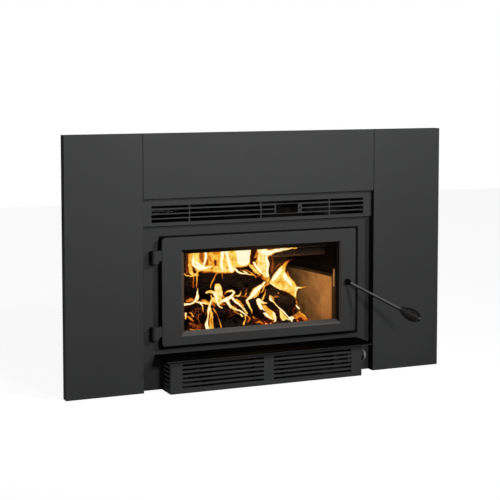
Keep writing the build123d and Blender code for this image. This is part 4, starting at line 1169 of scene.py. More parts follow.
class Dressing:
    """Gives every CAD node its finish."""

    PANEL = PanelPaint("panel_paint", (0.055, 0.056, 0.058), 0.6, 900.0, 0.00006)
    PLATE = PlatePaint("plate_paint", (0.05, 0.051, 0.053), 0.62, 700.0, 0.0001)
    GRILLE = Paint("grille_paint", (0.055, 0.056, 0.058), 0.6, 900.0, 0.00006)
    HOUSING = Paint("stove_paint", (0.05, 0.051, 0.053), 0.62, 700.0, 0.0001)
    CAST = Paint("cast_paint", (0.053, 0.054, 0.056), 0.64, 420.0, 0.00022)
    DOOR = DoorPaint("door_paint", (0.053, 0.054, 0.056), 0.64, 420.0, 0.00022)
    SHELF = ShelfPaint("shelf_paint", (0.028, 0.0285, 0.03))
    CASING = Galvanised("galvanised_sheet", (0.52, 0.53, 0.54))
    FIREBOX = Scaled("sooted_plate", (0.007, 0.006, 0.0055), (0.014, 0.010, 0.008), shine=0.05)
    MANIFOLD = Scaled("sooted_manifold", (0.0018, 0.0014, 0.0012), (0.004, 0.0028, 0.002), shine=0.03)
    TUBE = Scaled("heated_tube", (0.05, 0.04, 0.034), (0.085, 0.05, 0.032), 30.0, 0.0001)
    BRICK = Firebrick("firebrick", (0.74, 0.50, 0.27))
    CATCH = Scaled("catch_plate", (0.62, 0.50, 0.36), (0.5, 0.4, 0.28), 60.0, 0.0001)
    BOARD = Fibre("fibre_board", (0.72, 0.66, 0.56), (0.30, 0.22, 0.15))
    GLASS = Glass("ceramic_glass")
    OXIDE = Metal("black_oxide", (0.03, 0.03, 0.03), 0.5, 0.45, (700.0, 700.0, 700.0), (0.09, 0.085, 0.08))
    ZINC = Metal("zinc_plate", (0.6, 0.6, 0.58), 0.9, 0.38, (500.0, 500.0, 500.0), (0.42, 0.40, 0.36))
    ROD = PaintedShadeMetal("handle_rod", (0.20, 0.20, 0.205), 0.0, 0.35, (220.0, 220.0, 900.0), (0.25, 0.25, 0.25))
    MOTOR = Metal(
        "motor_paint", (0.012, 0.012, 0.013), 0.1, 0.6, (30.0, 800.0, 800.0), (0.03, 0.03, 0.03), 0.2
    )
    # Painted shade: the blower's wheels, scrolls and motor bracket are near black for the shade inside the
    # housing.
    WHEEL = Metal(
        "wheel_sheet", (0.004, 0.004, 0.004), 0.0, 0.8, (40.0, 700.0, 700.0), (0.009, 0.009, 0.009), 0.1
    )
    SLIDE = Metal(
        "slide_steel", (0.004, 0.004, 0.004), 0.0, 0.8, (60.0, 700.0, 700.0), (0.008, 0.008, 0.008), 0.1
    )
    BUSH = Metal(
        "bush_steel", (0.002, 0.002, 0.002), 0.0, 0.7, (700.0, 700.0, 700.0), (0.004, 0.004, 0.004), 0.05
    )
    KNOB = Knob("knob_plastic", (0.24, 0.24, 0.24))
    CONTROL = Plastic("control_plastic", (0.12, 0.12, 0.13))
    RUBBER = Plastic("gland_rubber", (0.04, 0.04, 0.04), 0.72, 0.0001)
    NODES = {
        PANEL: ("surround_panel_left", "surround_panel_right", "surround_panel_top"),
        GRILLE: ("upper_grille",),
        PLATE: ("front_plate",),
        HOUSING: ("blower_housing",),
        DOOR: ("door_frame",),
        CAST: ("hinge_lugs", "hinge_knuckles", "blower_louvre"),
        SHELF: ("ash_shelf",),
        CASING: (
            "casing_base", "casing_side_left", "casing_side_right", "casing_back", "casing_top",
            "support_skids",
        ),
        FIREBOX: (
            "firebox_floor", "firebox_roof", "firebox_sides", "firebox_back", "flue_collar",
            "air_inlet_box",
        ),
        MANIFOLD: ("air_manifold_left", "air_manifold_right"),
        TUBE: ("secondary_air_tubes", "latch_cam"),
        CATCH: ("door_catch",),
        BRICK: ("side_bricks_left", "side_bricks_right", "back_bricks", "floor_bricks"),
        BOARD: ("baffle_boards",),
        GLASS: ("door_glass",),
        OXIDE: ("hinge_pins", "case_screws"),
        BUSH: ("latch_bush", "latch_shaft"),
        ZINC: (
            "surround_screws", "glass_clips", "glass_clip_screws", "latch_ring", "rotor_shaft",
        ),
        ROD: ("handle_rod",),
        MOTOR: ("blower_motor",),
        WHEEL: ("blower_wheels", "blower_scrolls", "motor_bracket"),
        SLIDE: ("air_slide_plate", "air_control_rod"),
        KNOB: ("speed_knob",),
        CONTROL: ("speed_control", "thermal_switch"),
        RUBBER: ("cord_gland",),
    }

    def build(self) -> None:
        """Build each finish and put it on its nodes."""
        for finish, names in self.NODES.items():
            material = finish.material()
            for name in names:
                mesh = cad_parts[name].data
                for index in range(len(mesh.materials)):
                    mesh.materials[index] = material
                if not mesh.materials:
                    mesh.materials.append(material)
            LOG.info("%s on %d nodes", finish.name, len(names))


# -------- camera and studio
@dataclass(frozen=True)
class Camera:
    """The photograph's camera, fitted to the straight edges that it shows.

    Args:
        place: Where it stands, in metres.
        pitch: How far it looks up, in degrees.
        yaw: How far it is turned to its left, in degrees, with 0 looking along Y.
        lens: Its focal length in mm.
        sensor: Its sensor's width in mm.
        shift: How far the picture is moved on the sensor, as a share of its width.
        width: The picture's width in pixels.
    """

    place: Place = (-1.4957, -3.3306, 0.8513)
    pitch: float = -4.371
    yaw: float = -23.635
    lens: float = 96.57
    sensor: float = 36.0
    shift: float = -0.15
    width: int = 500

    def turned(self) -> Euler:
        """Return the camera's rotation."""
        return Euler((math.radians(90 + self.pitch), 0, math.radians(self.yaw)))

    def build(self) -> None:
        """Make the camera and use it."""
        data = bpy.data.cameras.new("camera")
        data.lens = self.lens
        data.sensor_width = self.sensor
        data.shift_y = self.shift
        made = bpy.data.objects.new("camera", data)
        made.location = self.place
        made.rotation_euler = self.turned()
        bpy.context.scene.collection.objects.link(made)
        bpy.context.scene.camera = made
        LOG.info("camera at %s", self.place)

    def reach(self, across: np.ndarray, down: np.ndarray, depth: np.ndarray) -> np.ndarray:
        """Find what the photograph shows at some pixels, on planes that face the front.

        The ray through a pixel goes on from the camera until its Y is the depth.

        Args:
            across: Pixels from the picture's left edge.
            down: Pixels from its top edge.
            depth: Each plane's Y in metres.

        Returns:
            The places in metres.
        """
        scale = self.sensor / self.lens / self.width
        middle = self.width / 2
        level = middle + self.shift * self.width
        flat = np.stack([(across - middle) * scale, (level - down) * scale, -np.ones(across.shape)], -1)
        ray = flat @ np.array(self.turned().to_matrix()).T
        share = (depth - self.place[1]) / ray[..., 1]
        return np.array(self.place) + ray * share[..., None]


@dataclass(frozen=True)
class Lamp:
    """A soft rectangular light that looks at a point.

    Args:
        name: The light's name.
        place: Where it stands, in metres.
        target: What it looks at.
        size: Its width and height in metres.
        power: Its power in watts.
        spread: How wide its beam opens, in degrees.
    """

    name: str
    place: Place
    target: Place
    size: tuple[float, float]
    power: float
    spread: float

    def build(self) -> None:
        """Make the light."""
        data = bpy.data.lights.new(self.name, "AREA")
        data.shape = "RECTANGLE"
        data.size, data.size_y = self.size
        data.energy = self.power
        data.spread = math.radians(self.spread)
        made = bpy.data.objects.new(self.name, data)
        made.location = self.place
        made.rotation_euler = (Vector(self.place) - Vector(self.target)).to_track_quat("Z", "Y").to_euler()
        bpy.context.scene.collection.objects.link(made)
        LOG.info("light %s: %.1f W", self.name, self.power)


@dataclass(frozen=True)
class Glow:
    """A small warm light in the fire.

    Args:
        name: The light's name.
        place: Where it is, in metres.
        power: Its power in watts.
        radius: Its radius in metres.
        color: Its colour.
    """

    name: str
    place: Place
    power: float
    radius: float = 0.03
    color: Color = (1.0, 0.56, 0.22)

    def build(self) -> None:
        """Make the light."""
        data = bpy.data.lights.new(self.name, "POINT")
        data.energy = self.power
        data.shadow_soft_size = self.radius
        data.color = self.color
        made = bpy.data.objects.new(self.name, data)
        made.location = self.place
        bpy.context.scene.collection.objects.link(made)
        LOG.info("glow %s: %.1f W", self.name, self.power)


class Studio:
    """The pale floor, the white surroundings and the soft lights."""

    AMBIENT = 0.07
    FLOOR_HALF = 5.0
    FLOOR_COLOR = (0.4, 0.4, 0.4)
    FLOOR_LIFT = 0.91
    LAMPS = (
        Lamp("key", (1.60, -2.48, 1.90), (0.0, 0.0, 1.8), (0.4, 0.4), 15.5, 94.0),
        Lamp("fill", (0.10, -2.95, 1.10), (0.0, 0.0, 1.05), (0.4, 0.4), 6.9, 79.0),
        Lamp("side", (-2.20, -0.14, 0.30), (-0.3, 0.0, 0.05), (0.3, 0.3), 0.5, 60.0),
    )

    def world(self) -> None:
        """Make surroundings that look white and light the shadows a little."""
        world = bpy.data.worlds.new("surroundings")
        world.use_nodes = True
        tree = world.node_tree
        tree.nodes.clear()
        out = tree.nodes.new("ShaderNodeOutputWorld")
        back = tree.nodes.new("ShaderNodeBackground")
        path = tree.nodes.new("ShaderNodeLightPath")
        level = tree.nodes.new("ShaderNodeMapRange")
        level.inputs["To Min"].default_value = self.AMBIENT
        level.inputs["To Max"].default_value = 1.0
        tree.links.new(path.outputs["Is Camera Ray"], level.inputs["Value"])
        tree.links.new(level.outputs[0], back.inputs["Strength"])
        back.inputs["Color"].default_value = (1.0, 1.0, 1.0, 1.0)
        tree.links.new(back.outputs[0], out.inputs[0])
        bpy.context.scene.world = world

    def floor(self) -> None:
        """Make the floor, which looks white except in the object's shadow."""
        half = self.FLOOR_HALF
        mesh = bpy.data.meshes.new("floor")
        corners = ((-half, -half, 0.0), (half, -half, 0.0), (half, half, 0.0), (-half, half, 0.0))
        mesh.from_pydata(corners, [], [(0, 1, 2, 3)])
        g = Graph("floor")
        path = g.add("ShaderNodeLightPath")
        mottle = g.mix(g.noise(2.0, 4.0), shade(self.FLOOR_COLOR, 0.98), self.FLOOR_COLOR)
        lift = g.math("MULTIPLY", path.outputs["Is Camera Ray"], self.FLOOR_LIFT)
        matt = g.add("ShaderNodeBsdfDiffuse", {"Color": mottle}).outputs[0]
        light = g.add("ShaderNodeEmission", {"Color": (1.0, 1.0, 1.0), "Strength": lift}).outputs[0]
        mesh.materials.append(g.close(g.add("ShaderNodeAddShader", {0: matt, 1: light}).outputs[0]))
        made = bpy.data.objects.new("floor", mesh)
        bpy.context.scene.collection.objects.link(made)
        made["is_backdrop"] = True

    def build(self) -> None:
        """Make the studio."""
        self.world()
        self.floor()
        for lamp in self.LAMPS:
            lamp.build()
        bpy.context.scene.view_settings.view_transform = "Standard"
        LOG.info("studio built")


# -------- handle
@dataclass(frozen=True)
class CoilGrip:
    """The handle's grip: one round wire wound in a swelling coil. Lengths are in mm.

    Args:
        foot: Where the rod's middle line starts.
        run: The rod's run from its foot to the grip.
        turns: Turns of the wire.
        pitch: The advance of each turn.
        end_radius: The coil's radius at its ends.
        top_radius: The most that its radius grows to.
        fullness: The power that rounds its outline.
        peak_power: The power that moves its thickest place along it.
        wire: The wire's radius.
        tip: The wire's radius at its ends, as a share.
        steps: Steps along each turn.
        around: Faces round the wire.
        piece: What the grip is in the record.
        finish: Its finish.
    """

    foot: Place = (262.0, -3.0, 262.0)
    run: Place = (101.7, -122.0, -66.1)
    turns: int = 14
    pitch: float = 4.3
    end_radius: float = 5.8
    top_radius: float = 16.2
    fullness: float = 0.75
    peak_power: float = 1.3
    wire: float = 1.85
    tip: float = 0.8
    steps: int = 30
    around: int = 12
    piece: Piece = Piece("coil_grip", Body.HANDLE, Slot.HANDLE_BLACK, ("handle_coil_grip",))
    # The wire is black, darkened further as painted shade, since its turns cast no shadow on each other.
    finish: Metal = Metal(
        "grip_wire", (0.012, 0.012, 0.0125), 0.1, 0.36, (500.0, 500.0, 500.0), (0.05, 0.05, 0.05)
    )

    def build(self) -> None:
        """Build the grip.

        The wire's middle line is: start + way * pitch * turn + radius * (cos(angle) * across + sin(angle)
        * over). The radius is end + (top - end) * sin(pi * share ** peak) ** fullness, where share is the
        part of the turns that is done.
        """
        run = np.array(self.run)
        way = unit(run)
        across = unit(np.cross((0.0, 0.0, 1.0), way))
        over = np.cross(way, across)
        share = np.linspace(0, 1, self.turns * self.steps + 1)
        swell = np.clip(np.sin(math.pi * share**self.peak_power), 0, 1) ** self.fullness
        radius = self.end_radius + (self.top_radius - self.end_radius) * swell
        angle = 2 * math.pi * self.turns * share
        out = np.cos(angle)[:, None] * across + np.sin(angle)[:, None] * over
        start = np.array(self.foot) + run
        path = start + way * (self.pitch * self.turns * share)[:, None] + radius[:, None] * out
        wire = np.full(share.shape, self.wire)
        wire[[0, -1]] *= self.tip
        made = self.piece.make(tube(path, out, wire, self.around) * MM, self.finish.material())
        # The photograph shows no shadow of the grip on the panel behind it.
        made.visible_shadow = False


# -------- door
def rounded_loop(
    half: float, low: float, high: float, corner: float, count: int
) -> tuple[np.ndarray, np.ndarray]:
    """A rectangle in the XZ plane with rounded corners, in even steps.

    Four quarter circles are joined by straight sides, and the whole line is read again at even lengths.

    Args:
        half: Half of its width.
        low: Its lower edge.
        high: Its upper edge.
        corner: The corners' radius.
        count: Steps round the loop.

    Returns:
        The points, with Y at 0, and the outward directions there.
    """
    turn = np.linspace(0, math.pi / 2, 13)
    quarter = math.pi / 2
    spots = ((half, high), (-half, high), (-half, low), (half, low))
    line, out = [], []
    for index, (x, z) in enumerate(spots):
        angle = turn + index * quarter
        arm = np.stack([np.cos(angle), 0 * angle, np.sin(angle)], -1)
        middle = np.array([x - math.copysign(corner, x), 0.0, z - corner if z == high else z + corner])
        line.append(middle + corner * arm)
        out.append(arm)
    line = np.concatenate([*line, line[0][:1]])
    out = np.concatenate([*out, out[0][:1]])
    length = np.concatenate([[0], np.cumsum(np.linalg.norm(np.diff(line, axis=0), axis=1))])
    at = np.linspace(0, length[-1], count, endpoint=False)
    points = np.stack([np.interp(at, length, line[:, k]) for k in range(3)], -1)
    return points, unit(np.stack([np.interp(at, length, out[:, k]) for k in range(3)], -1))


@dataclass(frozen=True)
class DoorRope:
    """The braided rope that seals the door against the plate. Lengths are in mm.

    Args:
        half: Half of the loop's width.
        low: Its lower side's middle line.
        high: Its upper side's middle line.
        corner: The corners' radius.
        depth: The middle line's Y.
        radius: The rope's radius.
        braid: Steps for each crossing of the braid.
        steps: Steps round the loop.
        around: Faces round the rope.
        piece: What the rope is in the record.
        finish: Its finish.
    """

    half: float = 284.0
    low: float = 127.4
    high: float = 404.6
    corner: float = 12.0
    depth: float = 21.45
    radius: float = 4.7
    braid: float = 5.0
    steps: int = 1680
    around: int = 16
    piece: Piece = Piece("door_rope", Body.DOOR, Slot.ROPE, ("door_rope_seal",))
    finish: Woven = Woven("door_rope", (0.12, 0.12, 0.12), 340.0, 4.0)

    def build(self) -> None:
        """Build the rope: a tube whose radius dips where two slanting sets of yarns part."""
        path, out = rounded_loop(self.half, self.low, self.high, self.corner, self.steps)
        path = path + np.array([0.0, self.depth, 0.0])
        turn = np.linspace(0, 2 * math.pi, self.around + 1)
        crossings = round(self.steps / self.braid / 2) * 2
        along = np.linspace(0, crossings * math.pi, self.steps, endpoint=False)[:, None]
        yarn = np.abs(np.sin(along + 2 * turn) * np.sin(along - 2 * turn))
        radius = self.radius * (0.9 + 0.1 * np.sqrt(yarn))
        self.piece.make(tube(path, out, radius, self.around, closed=True) * MM, self.finish.material())


@dataclass(frozen=True)
class GlassTape:
    """The flat woven tape under the glass. Lengths are in mm.

    Args:
        half: Half of its outer width.
        centre: The X of its middle.
        low: Its outer lower edge.
        high: Its outer upper edge.
        width: The tape's width.
        front: Its front face's Y.
        thickness: Its thickness.
        steps: Steps along each side.
        around: Faces round the tape.
        yarns: The weave's radians along each side, and its half waves across the tape.
        piece: What the tape is in the record.
        finish: Its finish.
    """

    half: float = 241.0
    centre: float = 3.0
    low: float = 144.4
    high: float = 378.2
    width: float = 9.0
    front: float = 14.0
    thickness: float = 0.8
    steps: int = 200
    around: int = 24
    yarns: tuple[int, int] = (240, 9)
    piece: Piece = Piece("glass_tape", Body.DOOR, Slot.GASKET, ("glass_gasket",))
    finish: Woven = Woven("glass_tape", (0.75, 0.74, 0.70), 480.0, 6.0, 0.0002)

    def build(self) -> None:
        """Build the tape.

        Each ring goes from the outer rectangle to the inner one and back: its width follows a flattened
        circle, and its thickness dips a little between the yarns.
        """
        inner = np.array([[-1, -1], [1, -1], [1, 1], [-1, 1], [-1, -1]])
        middle = (self.low + self.high) / 2
        reach = np.array([self.half, (self.high - self.low) / 2])
        side = np.linspace(0, 4, 4 * self.steps + 1)
        corner = np.stack([np.interp(side, np.arange(5), inner[:, k]) for k in range(2)], -1)
        outside = corner * reach
        inside = corner * (reach - self.width)
        turn = np.linspace(0, 2 * math.pi, self.around + 1)
        flat = np.sign(np.cos(turn)) * np.abs(np.cos(turn)) ** 0.5 / 2 + 0.5
        thick = np.sign(np.sin(turn)) * np.abs(np.sin(turn)) ** 0.35 / 2
        yarn = np.abs(np.sin(side * self.yarns[0])[:, None] * np.sin(flat * self.yarns[1] * math.pi))
        across = outside[:, None] + (inside - outside)[:, None] * flat[:, None]
        depth = self.front + self.thickness / 2 + self.thickness * thick * (0.8 + 0.2 * yarn)
        grid = np.stack([across[..., 0] + self.centre, depth, across[..., 1] + middle], -1)
        self.piece.make(grid * MM, self.finish.material())


# -------- firebox
def heap(
    half_x: float, half_y: float, square: float, rise: np.ndarray, around: int
) -> tuple[np.ndarray, np.ndarray]:
    """The plan of a closed heap: rings from the middle of its base, over its rim, to its crown.

    A ring's reach in a direction is that of a rounded rectangle: (|cos / half_x| ^ square + |sin /
    half_y| ^ square) ^ (-1 / square), times the ring's share.

    Args:
        half_x: Half of its width.
        half_y: Half of its depth.
        square: How square the corners are.
        rise: Each ring's share of the reach.
        around: Faces round it.

    Returns:
        X and Y for each ring and turn.
    """
    turn = np.linspace(0, 2 * math.pi, around + 1)
    reach = np.abs(np.cos(turn) / half_x) ** square + np.abs(np.sin(turn) / half_y) ** square
    reach = reach ** (-1 / square)
    return rise[:, None] * reach * np.cos(turn), rise[:, None] * reach * np.sin(turn)


@dataclass(frozen=True)
class Blanket:
    """The ceramic blanket on the baffle. Lengths are in mm.

    Args:
        half: Half of its width.
        front: Its front edge's Y.
        back: Its back edge's Y.
        bottom: Its underside.
        thickness: Its thickness.
        base_rings: Rings of its underside.
        rim_rings: Rings of its rim.
        rings: Rings of its top.
        around: Faces round it.
        piece: What the blanket is in the record.
        finish: Its finish.
    """

    half: float = 194.6
    front: float = 113.2
    back: float = 357.1
    bottom: float = 372.35
    thickness: float = 12.6
    base_rings: int = 12
    rim_rings: int = 8
    rings: int = 60
    around: int = 240
    piece: Piece = Piece("fibre_blanket", Body.STOVE, Slot.BLANKET, ("insulation_blanket",))
    finish: Fibre = Fibre(
        "fibre_blanket", (0.86, 0.85, 0.82), (0.46, 0.38, 0.30), (260.0, 260.0, 900.0), 0.0012
    )

    def build(self) -> None:
        """Build the blanket: a flat heap with a round rim, whose top is puffed by noise."""
        base = np.linspace(0, 1, self.base_rings)
        rim = 1 - 0.02 * np.linspace(0.1, 1, self.rim_rings)
        share = np.concatenate([base, rim, np.linspace(0.97, 0, self.rings)])
        lift = np.concatenate([0 * base, np.linspace(0.1, 0.9, self.rim_rings), np.ones(self.rings)])
        depth = (self.back - self.front) / 2
        x, y = heap(self.half, depth, 26.0, share, self.around)
        puff = cloud(np.stack([x / 26, y / 26, 0 * x], -1), 4, 11)
        z = self.bottom + self.thickness * lift[:, None] * (0.8 + 0.2 * puff)
        grid = np.stack([x, y + (self.front + self.back) / 2, z], -1)
        self.piece.make(grid * MM, self.finish.material())


@dataclass(frozen=True)
class Log:
    """One log. Lengths are in mm.

    Args:
        name: The log's name.
        start: One end of its middle line.
        end: The other end.
        radius: Its radius at the start.
        seed: The seed of its bark.
    """

    name: str
    start: Place
    end: Place
    radius: float
    seed: int


@dataclass(frozen=True)
class LogPile:
    """The five logs of the fire. Lengths are in mm.

    Args:
        logs: The logs.
        taper: A log's far radius against its near one.
        rings: Rings along each log.
        around: Faces round each log.
        face: The rings of a log's end, as shares of its radius.
        finish: The logs' finish.
    """

    logs: tuple[Log, ...] = (
        Log("base_log", (-175.0, 262.0, 180.6), (150.0, 268.0, 180.6), 30.0, 21),
        Log("back_log", (-165.0, 240.0, 245.4), (120.0, 246.0, 245.4), 41.0, 22),
        Log("front_log", (-178.0, 128.0, 183.6), (0.0, 149.0, 183.6), 35.0, 23),
        Log("cross_log", (44.0, 196.0, 213.6), (138.0, 92.0, 176.6), 33.0, 24),
        Log("kindling", (2.0, 184.0, 242.6), (38.0, 86.0, 168.6), 15.0, 25),
    )
    taper: float = 0.93
    rings: int = 220
    around: int = 96
    face: tuple[float, ...] = (0.25, 0.5, 0.75, 0.93)
    finish: Bark = Bark("charred_bark", (0.005, 0.0036, 0.0042))

    def build(self) -> None:
        """Build each log.

        A log's radius is its own, tapered, times 0.99 less the bark's furrows: noise that is stretched
        along the log and folded, so that its creases make ridges. Each end has a few rings that draw in
        to the middle, a little hollowed.
        """
        finish = self.finish.material()
        body = np.linspace(0, 1, self.rings)
        face = np.array(self.face)
        share = np.concatenate([0 * face, body, 0 * face + 1])
        draw = np.concatenate([face, 0 * body + 1, face[::-1]])
        cut = np.concatenate([0 * face + 1, 0 * body, 0 * face + 1])
        turn = np.linspace(0, 2 * math.pi, self.around + 1)
        x, y = np.cos(turn), np.sin(turn)
        marks = np.concatenate([[1.0], cut, [1.0]])[:, None] + 0 * turn
        for number, log in enumerate(self.logs):
            start, end = np.array(log.start), np.array(log.end)
            length = np.linalg.norm(end - start)
            along = (share * length)[:, None]
            at = np.stack([along / 55 + 0 * x, 4.2 * x + 0 * along, 4.2 * y + 0 * along], -1)
            ridge = 1 - np.abs(2 * cloud(at, 4, log.seed) - 1) * 2
            lump = cloud(at * 0.45, 3, log.seed + 50)
            bark = log.radius * (0.985 - 0.075 * (1 - np.clip(ridge, 0, 1)) - 0.09 * lump)
            radius = draw[:, None] * bark * (1 - (1 - self.taper) * share)[:, None]
            hollow = 2.5 * (1 - draw)[:, None] * (1 + lump) * np.where(share > 0.5, -1, 1)[:, None]
            way = (end - start) / length
            path = start + share[:, None] * (end - start)
            side = unit(np.cross(way, (0.0, 0.0, 1.0)))
            other = np.cross(way, side)
            grid = path[:, None] + radius[..., None] * (x[:, None] * side + y[:, None] * other)
            grid = grid + hollow[..., None] * way
            tips = [np.broadcast_to(grid[k].mean(0), grid[:1].shape) for k in (0, -1)]
            grid = np.concatenate([tips[0], grid, tips[1]])
            nodes = ("logs",) if number == 0 else ()
            Piece(log.name, Body.STOVE, Slot.BARK, nodes).make(grid * MM, finish, cut=marks)


@dataclass(frozen=True)
class Embers:
    """The bed of embers and the coals on it. Lengths are in mm.

    Args:
        half: Half of the bed's width.
        front: Its front edge's Y.
        back: Its back edge's Y.
        bottom: Its underside.
        height: Its height.
        coals: How many loose coals lie on it.
        seed: The seed of the noise and of the coals' places.
        base_rings: Rings of its underside.
        rings: Rings of its top.
        around: Faces round it.
        bed: What the bed is in the record.
        loose: What the coals are.
        finish: Their finish.
    """

    half: float = 194.0
    front: float = 60.0
    back: float = 304.0
    bottom: float = 134.9
    height: float = 24.0
    coals: int = 150
    seed: int = 5
    base_rings: int = 20
    rings: int = 130
    around: int = 300
    bed: Piece = Piece("ember_mound", Body.STOVE, Slot.EMBER, ("ember_bed",))
    loose: Piece = Piece("loose_coals", Body.STOVE, Slot.EMBER)
    finish: Coal = Coal("embers", (0.008, 0.005, 0.0045))

    def build(self) -> None:
        """Build the bed and its coals.

        The bed is a heap whose top rises as one less the sixth power of the ring's share, and noise cuts
        it into lumps. A coal is a ball with a noisy radius, turned and stretched at random.
        """
        finish = self.finish.material()
        share = np.concatenate([np.linspace(0, 1, self.base_rings), np.linspace(0.995, 0, self.rings)])
        upper = np.concatenate([np.zeros(self.base_rings), np.ones(self.rings)])
        middle, depth = (self.front + self.back) / 2, (self.back - self.front) / 2
        x, y = heap(self.half, depth, 9.0, share, self.around)
        lump = cloud(np.stack([x / 13, y / 13, 0 * x], -1), 4, self.seed)
        rise = (1 - share**6)[:, None] * upper[:, None]
        z = self.bottom + self.height * rise * (0.45 + 0.55 * smooth(lump, 0.25, 0.75))
        self.bed.make(np.stack([x, y + middle, z], -1) * MM, finish)
        rng = np.random.default_rng(self.seed)
        tilt = np.linspace(0, math.pi, 7)[:, None]
        turn = np.linspace(0, 2 * math.pi, 9)[None]
        ring = np.stack([np.cos(turn), np.sin(turn)], -1)
        ball = np.concatenate([np.sin(tilt)[..., None] * ring, (np.cos(tilt) + 0 * turn)[..., None]], -1)
        spot = rng.uniform((-0.93, -0.9), (0.93, 0.9), (self.coals, 2)) * (self.half, depth)
        size = rng.uniform(3.5, 8.0, (self.coals, 1, 1, 1)) * rng.uniform(0.7, 1.3, (self.coals, 1, 1, 3))
        bumpy = 0.75 + 0.5 * lattice(ball * 1.7 + rng.uniform(0, 90, (self.coals, 1, 1, 3)), self.seed)
        spin = np.linalg.qr(rng.normal(size=(self.coals, 3, 3)))[0]
        coal = np.einsum("kij,kabj->kabi", spin, ball * bumpy[..., None] * size)
        edge = np.maximum(np.abs(spot[:, 0]) / self.half, np.abs(spot[:, 1]) / depth)
        rest = self.bottom + self.height * 0.75 * (1 - edge**6) + size.min(-1)[:, 0, 0] * 0.4
        place = np.stack([spot[:, 0], spot[:, 1] + middle, rest], -1)
        self.loose.make((coal + place[:, None, None]) * MM, finish)


# -------- fire
@dataclass(frozen=True)
class At:
    """A place on a flame's middle line, as the photograph shows it.

    Args:
        across: Pixels from the picture's left edge.
        down: Pixels from its top edge.
        half: Half of the flame's width there, in pixels.
        heat: How pale it is, from 0 to 1, which a dark place doesn't use.
    """

    across: float
    down: float
    half: float
    heat: float = 0.0


class Lick:
    """One flame, or one dark place, in a sheet of fire."""

    STEPS = 60
    THINNEST = 0.3

    def __init__(self, *line: At, soft: float = 0.6, cool: float = 0.0) -> None:
        """Keep the line and the look.

        Args:
            line: The middle line.
            soft: The share of the half width that the edge takes.
            cool: How far it darkens the flames before it; 0 for a flame.
        """
        self.line = line
        self.soft = soft
        self.cool = cool

    def curve(self) -> np.ndarray:
        """Join the traced places by a smooth curve.

        Each stretch is a cubic that leaves and reaches its places at half the run between their
        neighbours.

        Returns:
            Across, down, half width and heat for each step.
        """
        marks = np.array([(at.across, at.down, at.half, at.heat) for at in self.line])
        slope = np.gradient(marks, axis=0)
        share = np.linspace(0, len(marks) - 1, self.STEPS)
        left = np.minimum(share.astype(int), len(marks) - 2)
        t = (share - left)[:, None]
        return (
            (2 * t**3 - 3 * t**2 + 1) * marks[left] + (t**3 - 2 * t**2 + t) * slope[left]
            + (3 * t**2 - 2 * t**3) * marks[left + 1] + (t**3 - t**2) * slope[left + 1]
        )

    def value(self, across: np.ndarray, down: np.ndarray) -> tuple[np.ndarray, np.ndarray]:
        """Work out the lick at some pixels.

        The share falls with the distance to the nearest step of the line, over that step's half width.

        Args:
            across: Pixels from the picture's left edge.
            down: Pixels from its top edge.

        Returns:
            The heat and the share that the lick has there.
        """
        curve = self.curve()
        gap = np.hypot(across[..., None] - curve[:, 0], down[..., None] - curve[:, 1])
        gap = gap / np.maximum(curve[:, 2], self.THINNEST)
        near = gap.argmin(-1)
        return curve[near, 3], 1 - smooth(gap.min(-1), 1 - self.soft, 1 + 0.4 * self.soft)


@dataclass(frozen=True)
class Sheet:
    """A sheet of fire that rises from a log, with all its flames on it.

    Args:
        name: Its name.
        left: Its left edge, in pixels.
        right: Its right edge.
        top: Its top edge.
        bottom: Its lower edge.
        depth: Pixels from the top and the sheet's Y there, in metres.
        licks: Its flames and dark places, each laid over those before it.
        step: The grid's spacing in pixels.
        stir: How far noise bends the flames, in pixels.
    """

    name: str
    left: float
    right: float
    top: float
    bottom: float
    depth: tuple[tuple[float, float], ...]
    licks: tuple[Lick, ...]
    step: float = 0.42
    stir: float = 0.9

    def build(self, camera: Camera, finish: bpy.types.Material) -> None:
        """Build the sheet.

        Its points are evenly spaced in the picture, each set back to the depth of its row. The heat is
        the greatest of the flames' heats times their shares, taken at pixels that noise moves a little,
        and a dark place multiplies what is before it.

        Args:
            camera: The camera that the flames were traced with.
            finish: Their material.
        """
        rows = round((self.bottom - self.top) / self.step) + 1
        columns = round((self.right - self.left) / self.step) + 1
        lines = np.linspace(self.top, self.bottom, rows), np.linspace(self.left, self.right, columns)
        down, across = np.meshgrid(*lines, indexing="ij")
        spot = np.stack([across / 3.2, down / 4.5, 0 * down], -1)
        x = across + self.stir * (cloud(spot, 3, 61) - 0.5) * 2
        y = down + self.stir * (cloud(spot, 3, 62) - 0.5) * 2
        warmth, cover = 0 * across, 0 * across
        for lick in self.licks:
            heat, share = lick.value(x, y)
            if lick.cool:
                warmth = warmth * (1 - lick.cool * share)
            else:
                warmth = np.maximum(warmth, heat * share)
                cover = np.maximum(cover, smooth(heat * share, 0.05, 0.30))
        places = camera.reach(across, down, np.interp(down, *zip(*self.depth)))
        piece = Piece(f"flame_{self.name}", Body.STOVE, Slot.EMBER)
        piece.make(places, finish, warmth=warmth, cover=cover)


